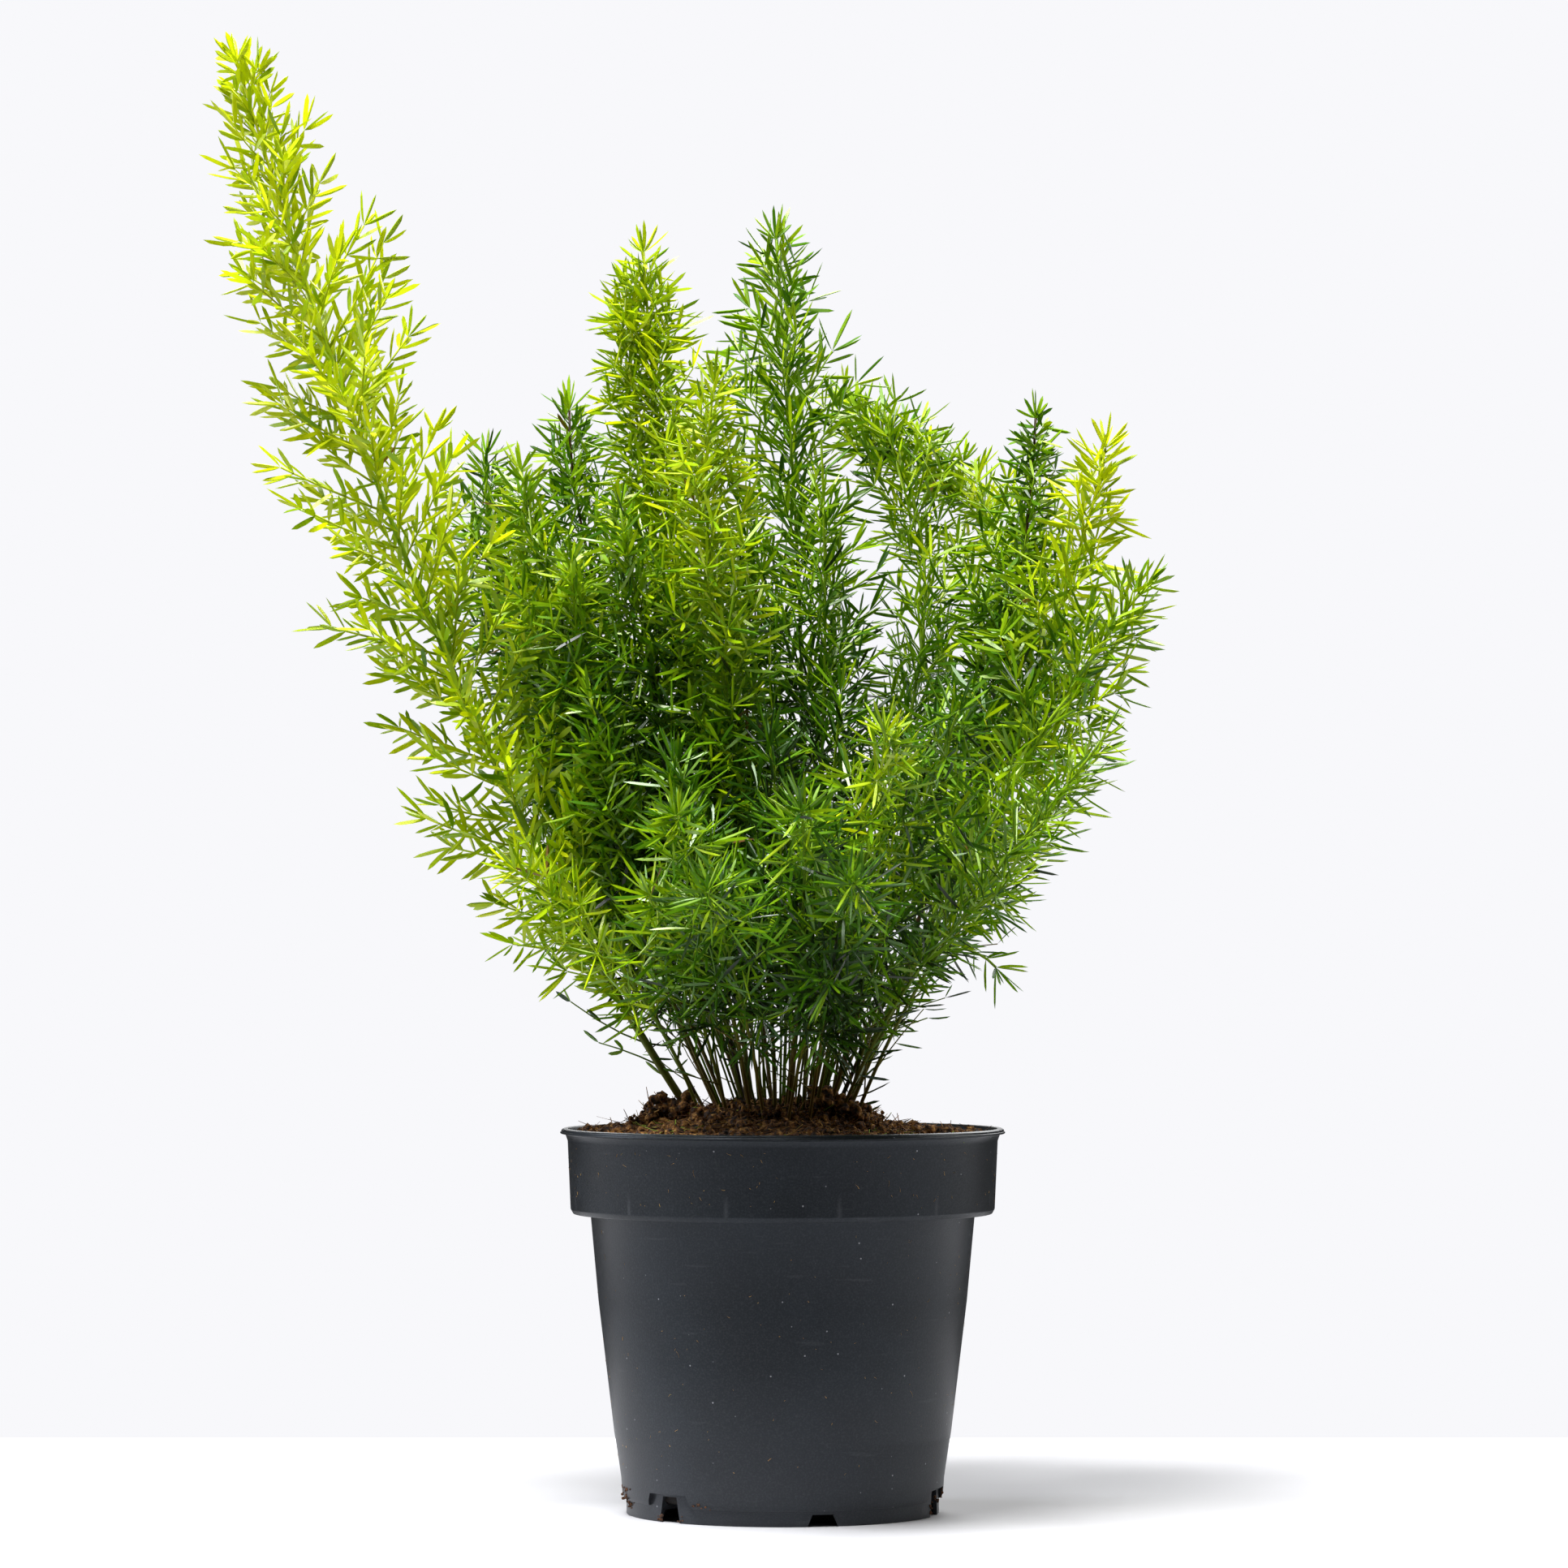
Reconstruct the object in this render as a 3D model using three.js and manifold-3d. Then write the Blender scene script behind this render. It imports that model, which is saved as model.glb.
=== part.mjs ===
// Asparagus fern of the foxtail kind in a 17 cm nursery pot. Millimetres, +Z up.
// The origin is on the pot's axis, level with the surface it stands on, and the front faces -Y.
import * as THREE from "three";
import { mergeVertices } from "three/addons/utils/BufferGeometryUtils.js";
import Module from "manifold-3d";

const wasm = await Module();
wasm.setup();

// Pot: driving dimensions
const POT_HEIGHT = 146.5;
const LIP_RADIUS = 85;
const LIP_DEPTH = 2.2;
const BAND_TOP_RADIUS = 82.15;
const BAND_FOOT_RADIUS = 81;
const BAND_FOOT_Z = 114;
const BODY_TOP_RADIUS = 73.4;
const BODY_FOOT_RADIUS = 61.2;
const FOOT_RING_RADIUS = 59.6;
const FOOT_RING_Z = 5.9;
const BASE_DISC_RADIUS = 44;
const GUTTER_Z = 4.6;
const WALL = 1.3;
const FLOOR = 1.7;
const POT_SIDES = 30;
const MOUND_SIDES = 12;

// The wall widens a little faster near the foot than near the band: three points up its outside
const WALL_FOOT = { radius: 61.65, z: 14 };
const WALL_LOW = { radius: 64.3, z: 31 };
const WALL_MIDDLE = { radius: 70.35, z: 81 };

// Drainage notches round the foot: three tall ones and three short ones, in turn
const TALL_NOTCH = { height: 9.7, foot: 11.2, head: 7.2, first: -45.4 };
const SHORT_NOTCH = { height: 4.5, foot: 12.7, head: 8, first: 14.6 };
const NOTCH_TURN = 120;
const SCALLOP = { height: 10.6, foot: 28.4, head: 19.4 };
const DRAIN_SLOT = { width: 8, from: 50.5, to: 56.5 };

// Potting mix
const SOIL_GAP = 0.3;
const SOIL_EDGE_Z = 143.4;
const SOIL_EDGE_RADIUS = 80.1;
const MOUND = { x: -8, y: 2, height: 13, spread: 31, skirt: 66, rings: [62, 42, 24] };
const STEM_DEPTH = 12;
const HOLE_GAP = 0.35;

// Foliage
const STEM_SIDES = 4;
const STEM_STEP = 42;
const STRAIGHT_COLLAR = 8;
const TIP_RADIUS = 0.5;
const BARE_STEM = 62;
const SPRAY_STEP = 36;
const SPRAY_START = 20;
const GOLDEN_TURN = THREE.MathUtils.degToRad(137.5);
const SPRAY_LEAN = THREE.MathUtils.degToRad(52);
const TWIG_RADIUS = 0.62;
const TWIG_TAPER = 0.92;
const SHORTEST_SPRAY = 8;
const END_SPRAY = 4;
const END_ROOT = 3;
const END_NEEDLE = 9.6;
const SPRAY_GROWTH = 0.36;
const WHORL_DEPTH = 2;
const NEEDLE = 12;
const NEEDLE_LEAN = THREE.MathUtils.degToRad(54);
const TWO_WHORLS_FROM = 16;
const CLEAR_OF_OTHERS = 0.35;
const BENDS = [0, 20, -20, 40, -40, 60, -60, 80, -80].map(THREE.MathUtils.degToRad);
const SHORTENINGS = [1, 0.75, 0.5];

// Leafy stems: where each leaves the soil, two points that it passes a third and two thirds of
// the way up, its tip, its thickness at the soil, its longest side spray, and how young it is
// (0 is old dark green, 1 is new yellow green). The first seventeen are the tall and outer ones
// seen from the front, then come those that lean forward, back and between.
const STEMS = [
  [[-35, -6], [-107, -12, 280], [-161, -14, 415], [-210, -10, 559], 4.3, 42, 0.95],
  [[-12, 4], [-28, 12, 268], [-44, 18, 380], [-54, 20, 489], 3.2, 30, 0.6],
  [[-3, -16], [-12, -32, 252], [-26, -42, 345], [-25, -45, 432], 3, 26, 0.75],
  [[3, 10], [8, 24, 270], [5, 34, 382], [-3, 38, 496], 3.2, 34, 0.15],
  [[22, 6], [60, 14, 243], [86, 20, 328], [98, 22, 425], 3, 28, 0.1],
  [[27, -2], [66, -6, 243], [103, -8, 338], [124, -8, 411], 3, 30, 0.95],
  [[28, -10], [60, -20, 224], [104, -28, 302], [138, -32, 354], 3.2, 32, 0.45],
  [[11, 14], [38, 42, 258], [60, 64, 352], [30, 88, 427], 2.8, 30, 0.4],
  [[20, 14], [56, 44, 262], [84, 70, 358], [66, 98, 412], 2.8, 30, 0.4],
  [[-22, 14], [-64, 36, 245], [-104, 56, 335], [-116, 68, 414], 2.8, 26, 0.15],
  [[-15, 12], [-42, 38, 258], [-72, 58, 352], [-84, 72, 432], 2.8, 26, 0.15],
  [[-24, -3], [-58, -6, 238], [-84, -8, 326], [-101, -6, 402], 2.8, 26, 0.35],
  [[-30, 5], [-68, 22, 232], [-94, 34, 312], [-108, 42, 388], 2.6, 26, 0.5],
  [[30, 5], [48, -2, 190], [66, -8, 207], [84, -14, 203], 2.2, 18, 0.3],
  [[33, -18], [64, -46, 216], [98, -68, 264], [124, -82, 298], 2.6, 30, 0.4],
  [[28, 13], [56, 28, 212], [88, 40, 250], [112, 48, 270], 2.6, 30, 0.45],
  [[24, -20], [48, -46, 200], [72, -70, 230], [92, -90, 242], 2.4, 28, 0.35],
  [[2, -23], [6, -60, 205], [8, -102, 245], [6, -140, 266], 2.6, 30, 0.25],
  [[12, -19], [24, -54, 212], [33, -88, 262], [38, -120, 297], 2.6, 28, 0.85],
  [[10, -28], [17, -66, 196], [23, -108, 226], [26, -148, 240], 2.4, 28, 0.2],
  [[2, -33], [8, -58, 180], [14, -88, 200], [17, -118, 202], 2.2, 24, 0.2],
  [[-12, -24], [-22, -56, 206], [-32, -90, 244], [-40, -122, 266], 2.6, 28, 0.35],
  [[-7, -33], [-14, -64, 190], [-22, -102, 221], [-28, -140, 237], 2.4, 28, 0.3],
  [[-21, -21], [-31, -44, 190], [-41, -70, 219], [-50, -96, 237], 2.4, 26, 0.45],
  [[-31, -16], [-56, -32, 203], [-82, -46, 234], [-102, -56, 250], 2.4, 28, 0.6],
  [[-4, 22], [-14, 64, 235], [-24, 100, 305], [-32, 132, 360], 2.8, 30, 0.3],
  [[9, 24], [32, 60, 232], [52, 94, 300], [66, 124, 348], 2.8, 30, 0.35],
  [[-15, 23], [-42, 56, 226], [-72, 88, 285], [-94, 116, 330], 2.8, 30, 0.25],
  [[2, 32], [8, 72, 205], [12, 116, 245], [14, 156, 266], 2.4, 28, 0.4],
  [[-12, 33], [-34, 70, 198], [-56, 110, 232], [-74, 148, 250], 2.4, 28, 0.35],
  [[17, 31], [42, 66, 200], [68, 104, 236], [88, 140, 256], 2.4, 28, 0.3],
  [[-13, -8], [-32, -20, 250], [-50, -32, 325], [-62, -40, 386], 2.8, 28, 0.35],
  [[8, -5], [13, -6, 250], [16, -8, 325], [15, -10, 392], 2.8, 28, 0.25],
  [[19, -13], [38, -46, 218], [53, -80, 270], [66, -110, 306], 2.6, 28, 0.25],
  [[28, 22], [64, 52, 232], [98, 80, 290], [124, 102, 328], 2.6, 30, 0.4],
  [[-25, 23], [-60, 50, 226], [-88, 74, 280], [-108, 92, 312], 2.6, 30, 0.3],
].map(([base, low, high, tip, girth, reach, young]) => ({ base, low, high, tip, girth, reach, young }));

const UP = new THREE.Vector3(0, 0, 1);

function mounded(x, y) {
  const across = (x - MOUND.x) ** 2 + (y - MOUND.y) ** 2;
  return SOIL_EDGE_Z + MOUND.height * Math.exp(-across / (2 * MOUND.spread ** 2));
}

// A closed geometry as a solid that can be joined and cut, and back again
function solidFrom(geometry) {
  const bare = geometry.clone();
  bare.deleteAttribute("normal");
  bare.deleteAttribute("uv");
  const welded = mergeVertices(bare, 1e-4);
  return new wasm.Manifold(
    new wasm.Mesh({
      numProp: 3,
      vertProperties: welded.attributes.position.array,
      triVerts: new Uint32Array(welded.index.array),
    }),
  );
}

function geometryFrom(solid) {
  const mesh = solid.getMesh();
  const geometry = new THREE.BufferGeometry();
  geometry.setAttribute("position", new THREE.BufferAttribute(mesh.vertProperties, 3));
  geometry.setIndex(new THREE.BufferAttribute(mesh.triVerts, 1));
  const faceted = geometry.toNonIndexed();
  faceted.computeVertexNormals();
  return faceted;
}

function turned(profile, sides = POT_SIDES) {
  const points = profile.map(([radius, z]) => new THREE.Vector2(radius, z));
  return new THREE.LatheGeometry(points, sides).rotateX(Math.PI / 2);
}

// A block with a trapezium for its face, standing at an angle round the pot and reaching from
// one radius to another
function radialBlock({ foot, head, height, z = -1, degrees, from, to }) {
  const face = new THREE.Shape([
    new THREE.Vector2(-foot / 2, z),
    new THREE.Vector2(foot / 2, z),
    new THREE.Vector2(head / 2, height),
    new THREE.Vector2(-head / 2, height),
  ]);
  const block = new THREE.ExtrudeGeometry(face, { depth: to - from, bevelEnabled: false });
  const angle = THREE.MathUtils.degToRad(degrees);
  const outward = new THREE.Vector3(Math.sin(angle), -Math.cos(angle), 0);
  const along = new THREE.Vector3(Math.cos(angle), Math.sin(angle), 0);
  const placed = new THREE.Matrix4().makeBasis(along, UP, outward);
  placed.setPosition(outward.clone().multiplyScalar(from));
  return solidFrom(block.applyMatrix4(placed));
}

function makePot() {
  const lipFoot = POT_HEIGHT - LIP_DEPTH;
  const innerFoot = FOOT_RING_RADIUS - WALL;
  const body = solidFrom(
    turned([
      [0, 0],
      [BASE_DISC_RADIUS, 0],
      [BASE_DISC_RADIUS + 3.5, GUTTER_Z],
      [innerFoot - 0.4, GUTTER_Z],
      [innerFoot, 0],
      [FOOT_RING_RADIUS, 0],
      [FOOT_RING_RADIUS, FOOT_RING_Z],
      [FOOT_RING_RADIUS + 0.9, FOOT_RING_Z],
      [BODY_FOOT_RADIUS, FOOT_RING_Z + 1.9],
      [WALL_FOOT.radius, WALL_FOOT.z],
      [WALL_LOW.radius, WALL_LOW.z],
      [WALL_MIDDLE.radius, WALL_MIDDLE.z],
      [BODY_TOP_RADIUS, BAND_FOOT_Z],
      [BAND_FOOT_RADIUS - 1, BAND_FOOT_Z],
      [BAND_FOOT_RADIUS, BAND_FOOT_Z + 1.8],
      [BAND_TOP_RADIUS, lipFoot - 2.5],
      [BAND_TOP_RADIUS + 0.9, lipFoot],
      [LIP_RADIUS, lipFoot + 0.3],
      [LIP_RADIUS - 0.3, POT_HEIGHT - 0.8],
      [LIP_RADIUS - 1.3, POT_HEIGHT],
      [LIP_RADIUS - 3, POT_HEIGHT],
      [BAND_TOP_RADIUS - WALL, POT_HEIGHT - 2.5],
      [BAND_FOOT_RADIUS - WALL, BAND_FOOT_Z + 2.4],
      [BODY_TOP_RADIUS - WALL, BAND_FOOT_Z + 1.3],
      [WALL_LOW.radius - WALL, WALL_LOW.z],
      [WALL_FOOT.radius - WALL, WALL_FOOT.z + 1],
      [innerFoot, 11.5],
      [innerFoot, 8],
      [innerFoot - 1.7, GUTTER_Z + FLOOR],
      [BASE_DISC_RADIUS + 3, GUTTER_Z + FLOOR],
      [BASE_DISC_RADIUS - 0.6, FLOOR],
      [0, FLOOR],
    ]),
  );
  const outerRing = solidFrom(
    turned([
      [FOOT_RING_RADIUS, 3],
      [LIP_RADIUS, 3],
      [LIP_RADIUS, 30],
      [FOOT_RING_RADIUS, 30],
      [FOOT_RING_RADIUS, 3],
    ]),
  );
  const cuts = [];
  for (let turn = 0; turn < 360; turn += NOTCH_TURN) {
    const tall = TALL_NOTCH.first + turn;
    const short = SHORT_NOTCH.first + turn;
    const scallop = radialBlock({ ...SCALLOP, degrees: tall, from: 50, to: 70 });
    cuts.push(scallop.intersect(outerRing));
    cuts.push(radialBlock({ ...TALL_NOTCH, degrees: tall, from: DRAIN_SLOT.from, to: 70 }));
    cuts.push(radialBlock({ ...SHORT_NOTCH, degrees: short, from: DRAIN_SLOT.to, to: 70 }));
    cuts.push(
      radialBlock({
        foot: DRAIN_SLOT.width,
        head: DRAIN_SLOT.width,
        height: GUTTER_Z + FLOOR + 1,
        degrees: short,
        from: DRAIN_SLOT.from,
        to: DRAIN_SLOT.to,
      }),
    );
  }
  return body.subtract(wasm.Manifold.union(cuts));
}

function makeSoil(holes) {
  const gap = SOIL_GAP;
  const innerFoot = FOOT_RING_RADIUS - WALL - gap;
  const fill = turned([
    [0, FLOOR + gap],
    [BASE_DISC_RADIUS - 0.8, FLOOR + gap],
    [BASE_DISC_RADIUS + 2.8, GUTTER_Z + FLOOR + gap],
    [innerFoot - 1.7, GUTTER_Z + FLOOR + gap],
    [innerFoot, 8.2],
    [innerFoot, 11.6],
    [WALL_LOW.radius - WALL - gap, WALL_LOW.z],
    [BODY_TOP_RADIUS - WALL - gap, BAND_FOOT_Z + 1.7],
    [BAND_FOOT_RADIUS - WALL - gap, BAND_FOOT_Z + 2.8],
    [SOIL_EDGE_RADIUS, SOIL_EDGE_Z],
    [0, SOIL_EDGE_Z],
  ]);
  const heap = turned(
    [
      [0, SOIL_EDGE_Z - 3],
      [MOUND.skirt, SOIL_EDGE_Z - 3],
      ...MOUND.rings.map((radius) => [radius, SOIL_EDGE_Z]),
      [0, SOIL_EDGE_Z],
    ],
    MOUND_SIDES,
  ).translate(MOUND.x, MOUND.y, 0);
  const place = heap.attributes.position;
  for (let i = 0; i < place.count; i++) {
    if (place.getZ(i) > SOIL_EDGE_Z - 1) {
      place.setZ(i, mounded(place.getX(i), place.getY(i)));
    }
  }
  return solidFrom(fill).add(solidFrom(heap)).subtract(wasm.Manifold.union(holes));
}

// The line that a stem follows: straight through the soil, then bent at a few even steps.
// at() gives the frame of the smooth line, and onCore() a point inside the faceted core.
function stemLine(stem) {
  const base = new THREE.Vector3(...stem.base, mounded(...stem.base));
  const low = new THREE.Vector3(...stem.low);
  const high = new THREE.Vector3(...stem.high);
  const tip = new THREE.Vector3(...stem.tip);
  const blend = (a, b, c, d) =>
    new THREE.Vector3()
      .addScaledVector(base, a / 6)
      .addScaledVector(low, b / 6)
      .addScaledVector(high, c / 6)
      .addScaledVector(tip, d / 6);
  const curve = new THREE.CubicBezierCurve3(base, blend(-5, 18, -9, 2), blend(2, -9, 18, -5), tip);
  const length = curve.getLength();
  const bends = Math.max(2, Math.round((length - STRAIGHT_COLLAR) / STEM_STEP));
  const distances = [-STEM_DEPTH];
  for (let k = 0; k <= bends; k++) {
    distances.push(STRAIGHT_COLLAR + ((length - STRAIGHT_COLLAR) * k) / bends);
  }
  const sideways = new THREE.Vector3().crossVectors(UP, tip.clone().sub(base)).normalize();
  const at = (distance) => {
    const u = THREE.MathUtils.clamp(distance / length, 0, 1);
    const along = curve.getTangentAt(u);
    const centre = curve.getPointAt(u).addScaledVector(along, Math.min(distance, 0));
    const side = sideways.clone().addScaledVector(along, -sideways.dot(along)).normalize();
    return { centre, along, side, front: new THREE.Vector3().crossVectors(along, side) };
  };
  const onCore = (distance) => {
    const next = distances.findIndex((d, k) => k > 0 && (d >= distance || k === distances.length - 1));
    const [from, to] = [distances[next - 1], distances[next]];
    return at(from).centre.lerp(at(to).centre, (distance - from) / (to - from));
  };
  const radius = (distance) => {
    const grown = 1 - THREE.MathUtils.clamp(distance / length, 0, 1);
    return TIP_RADIUS + (stem.girth / 2 - TIP_RADIUS) * grown;
  };
  return { length, distances, at, onCore, radius };
}

// A cylinder bent along a stem's line from one distance to another
function bentTube(line, distances, radiusAt) {
  const steps = distances.length - 1;
  const tube = new THREE.CylinderGeometry(1, 1, steps, STEM_SIDES, steps).rotateX(Math.PI / 2);
  const place = tube.attributes.position;
  const point = new THREE.Vector3();
  for (let i = 0; i < place.count; i++) {
    const distance = distances[Math.round(place.getZ(i) + steps / 2)];
    const { centre, side, front } = line.at(distance);
    const radius = radiusAt(distance);
    point.copy(centre);
    point.addScaledVector(side, place.getX(i) * radius);
    point.addScaledVector(front, place.getY(i) * radius);
    place.setXYZ(i, point.x, point.y, point.z);
  }
  return solidFrom(tube);
}

// A three-sided twig along +Z. At each whorl its three short faces are drawn out into needles,
// and so is its end.
function sprayGeometry(length) {
  const levels = [{ z: 0, radius: TWIG_RADIUS }];
  const whorls = length > TWO_WHORLS_FROM ? [length * 0.5, length] : [length];
  for (const end of whorls) {
    levels.push({ z: end - WHORL_DEPTH, radius: TWIG_RADIUS * TWIG_TAPER });
    levels.push({ z: end, radius: TWIG_RADIUS * TWIG_TAPER ** 2, whorl: true });
  }
  const points = [];
  const faces = [];
  const onRing = (level, corner) => {
    const angle = (corner * 2 * Math.PI) / 3;
    return [level.radius * Math.cos(angle), level.radius * Math.sin(angle), level.z];
  };
  levels.forEach((level) => [0, 1, 2].forEach((corner) => points.push(onRing(level, corner))));
  faces.push([2, 1, 0]);
  for (let k = 1; k < levels.length; k++) {
    for (let corner = 0; corner < 3; corner++) {
      const next = (corner + 1) % 3;
      const [a, b] = [3 * k - 3 + corner, 3 * k - 3 + next];
      const [c, d] = [3 * k + next, 3 * k + corner];
      if (!levels[k].whorl) {
        faces.push([a, b, c], [a, c, d]);
        continue;
      }
      const angle = ((corner + 0.5) * 2 * Math.PI) / 3;
      const out = NEEDLE * Math.sin(NEEDLE_LEAN);
      const up = levels[k].z + NEEDLE * Math.cos(NEEDLE_LEAN);
      const tip = points.push([out * Math.cos(angle), out * Math.sin(angle), up]) - 1;
      faces.push([a, b, tip], [b, c, tip], [c, d, tip], [d, a, tip]);
    }
  }
  const last = 3 * (levels.length - 1);
  const end = points.push([0, 0, length + END_NEEDLE]) - 1;
  faces.push([last, last + 1, end], [last + 1, last + 2, end], [last + 2, last, end]);
  const geometry = new THREE.BufferGeometry();
  geometry.setAttribute("position", new THREE.Float32BufferAttribute(points.flat(), 3));
  geometry.setIndex(faces.flat());
  return geometry;
}

function sprayAt(line, distance, azimuth, lean, length) {
  const { along, side, front } = line.at(distance);
  const out = side.multiplyScalar(Math.cos(azimuth)).addScaledVector(front, Math.sin(azimuth));
  const axis = along.clone().multiplyScalar(Math.cos(lean)).addScaledVector(out, Math.sin(lean));
  const across = new THREE.Vector3().crossVectors(along, out).normalize();
  const facing = new THREE.Vector3().crossVectors(axis, across);
  const placed = new THREE.Matrix4().makeBasis(across, facing, axis);
  return solidFrom(sprayGeometry(length).applyMatrix4(placed.setPosition(line.onCore(distance))));
}

function isClear(solid, others) {
  const box = solid.boundingBox();
  return others.every((other) => {
    const far = [0, 1, 2].some(
      (i) => other.box.min[i] > box.max[i] + 1 || other.box.max[i] < box.min[i] - 1,
    );
    return far || other.solid.minGap(solid, 2 * CLEAR_OF_OTHERS) > CLEAR_OF_OTHERS;
  });
}

// The sprays of one stem. One that would touch another stem's foliage is bent round its own
// stem until it is clear, then shortened, and left out if nothing helps.
function makeSprays(stem, line, phase, others) {
  const sprays = [];
  const lowest = line.length - Math.min(BARE_STEM, 0.4 * line.length);
  let count = 0;
  for (let fromTip = SPRAY_START; fromTip < lowest; fromTip += SPRAY_STEP) {
    const distance = line.length - fromTip;
    const azimuth = phase + GOLDEN_TURN * count++;
    const full = Math.min(SHORTEST_SPRAY + SPRAY_GROWTH * (fromTip - SPRAY_START), stem.reach);
    for (const shorter of SHORTENINGS) {
      const length = Math.max(full * shorter, SHORTEST_SPRAY);
      const bent = (bend) => sprayAt(line, distance, azimuth + bend, SPRAY_LEAN, length);
      const made = firstClear(bent, others);
      if (made) {
        sprays.push(made);
        break;
      }
    }
  }
  return sprays;
}

function firstClear(bent, others) {
  for (const bend of BENDS) {
    const solid = bent(bend);
    if (isClear(solid, others)) {
      return solid;
    }
  }
  return null;
}

function boxed(solid) {
  return { solid, box: solid.boundingBox() };
}

const potColour = new THREE.MeshStandardMaterial({ color: "#2c3137", roughness: 0.5, metalness: 0 });
const soilColour = new THREE.MeshStandardMaterial({ color: "#3a2818", roughness: 1, metalness: 0 });

function leafColour(young) {
  const color = new THREE.Color("#245a12").lerp(new THREE.Color("#a6c81a"), young);
  return new THREE.MeshStandardMaterial({ color, roughness: 0.55, metalness: 0 });
}

const plants = STEMS.map((stem, index) => {
  const line = stemLine(stem);
  const core = bentTube(line, line.distances, line.radius);
  const wider = (distance) => line.radius(distance) + HOLE_GAP;
  const hole = bentTube(line, [-STEM_DEPTH - HOLE_GAP, STRAIGHT_COLLAR], wider);
  const end = sprayAt(line, line.length - END_ROOT, 0, 0, END_SPRAY);
  return { stem, line, hole, phase: index * 1.3, solids: [boxed(core), boxed(end)] };
});

plants.forEach((plant) => {
  const others = plants.filter((other) => other !== plant).flatMap((other) => other.solids);
  const sprays = makeSprays(plant.stem, plant.line, plant.phase, others);
  sprays.forEach((spray) => plant.solids.push(boxed(spray)));
});

const group = new THREE.Group();

function addPiece(name, solid, material) {
  const mesh = new THREE.Mesh(geometryFrom(solid), material);
  mesh.name = name;
  group.add(mesh);
}

addPiece("pot", makePot(), potColour);
addPiece("soil", makeSoil(plants.map((plant) => plant.hole)), soilColour);
plants.forEach((plant, index) => {
  const number = String(index + 1).padStart(2, "0");
  const joined = wasm.Manifold.union(plant.solids.map((part) => part.solid));
  addPiece(`leafy_stem_${number}`, joined, leafColour(plant.stem.young));
});

export default group;
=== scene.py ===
"""A foxtail asparagus fern in a nursery pot, dressed around its CAD frame."""

import math
from collections import namedtuple

import bmesh
import bpy
import numpy as np
from mathutils import Matrix, Vector, noise


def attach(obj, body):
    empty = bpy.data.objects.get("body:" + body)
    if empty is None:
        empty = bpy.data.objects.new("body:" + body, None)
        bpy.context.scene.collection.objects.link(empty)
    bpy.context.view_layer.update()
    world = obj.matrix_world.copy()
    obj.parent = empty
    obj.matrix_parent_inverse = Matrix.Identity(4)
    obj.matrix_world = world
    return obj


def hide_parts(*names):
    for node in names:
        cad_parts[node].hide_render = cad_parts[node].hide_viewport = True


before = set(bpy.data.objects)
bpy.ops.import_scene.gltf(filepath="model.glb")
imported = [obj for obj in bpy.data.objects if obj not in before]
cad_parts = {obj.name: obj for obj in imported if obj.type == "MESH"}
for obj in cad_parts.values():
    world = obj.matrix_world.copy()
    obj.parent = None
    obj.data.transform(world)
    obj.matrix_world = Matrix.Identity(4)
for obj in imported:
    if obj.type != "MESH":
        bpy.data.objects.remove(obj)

bl_info = {
    "name": "Potted asparagus fern",
    "version": (1, 0, 0),
    "blender": (4, 5, 0),
    "location": "3D View > Sidebar > Fern",
    "description": "Dresses the frame of a potted foxtail asparagus fern",
    "category": "Add Mesh",
}

MM = 0.001
UP = np.array((0.0, 0.0, 1.0))
GOLDEN_TURN = math.radians(137.5)

# Pot and potting mix, in millimetres and degrees. The large sizes are those of the CAD source.
POT_HEIGHT = 146.5
LIP_RADIUS = 85
BAND_TOP_RADIUS = 82.15
BAND_FOOT_RADIUS = 81
BAND_FOOT_Z = 114
BODY_TOP_RADIUS = 73.4
BODY_FOOT_RADIUS = 61.2
FOOT_RING_RADIUS = 59.6
FOOT_RING_Z = 5.9
BASE_DISC_RADIUS = 44
GUTTER_Z = 4.6
WALL = 1.3
FLOOR = 1.7
INNER_FOOT_RADIUS = FOOT_RING_RADIUS - WALL
WALL_FOOT = (61.65, 14)
MOULD_LINE = (63.9, 28.4)
WALL_LOW = (64.3, 31)
WALL_MIDDLE = (70.35, 81)
BAND_FOOT = (BAND_FOOT_RADIUS, BAND_FOOT_Z + 1.8)
BAND_TOP = (BAND_TOP_RADIUS, POT_HEIGHT - 4.7)
NOTCH_TURN = 120
TALL_NOTCH_FIRST = -45.4
SHORT_NOTCH_FIRST = 14.6
# Blocks that cut the pot's foot: their height, width at foot and head, and reach from its axis
OUTSIDE_WALL = 70
TALL_NOTCH = {"height": 9.7, "foot": 11.2, "head": 7.2, "inner": 50.5, "outer": OUTSIDE_WALL}
SHORT_NOTCH = {"height": 4.5, "foot": 12.7, "head": 8, "inner": 56.5, "outer": OUTSIDE_WALL}
SCALLOP = {"height": 10.6, "foot": 28.4, "head": 19.4, "inner": 50, "outer": OUTSIDE_WALL}
DRAIN_SLOT = {"height": 7.3, "foot": 8, "head": 8, "inner": 50.5, "outer": 57}
# Heights between which the blocks of the scallops may cut the wall
SCALLOP_FOOT = 3
ABOVE_SCALLOPS = 30
SOIL_EDGE_Z = 143.4
SOIL_EDGE_RADIUS = 80.1
SOIL_GAP = 0.3
MOUND = {"x": -8, "y": 2, "height": 13, "spread": 31}

# Faint streaks on the foot of the band: degrees from one to the next, half the width of one in
# degrees, and the heights above the band's foot at which they start, begin to fade and end
STREAK_TURN = 30
STREAK_HALF = 0.9
STREAK_START = 1.9
STREAK_FADE = 5
STREAK_END = 11

# Edges of the pot that the mould rounds, and edges that catch the light as a line
ROUNDED_EDGE = math.radians(25)
CRISP_EDGE = math.radians(32)

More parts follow.
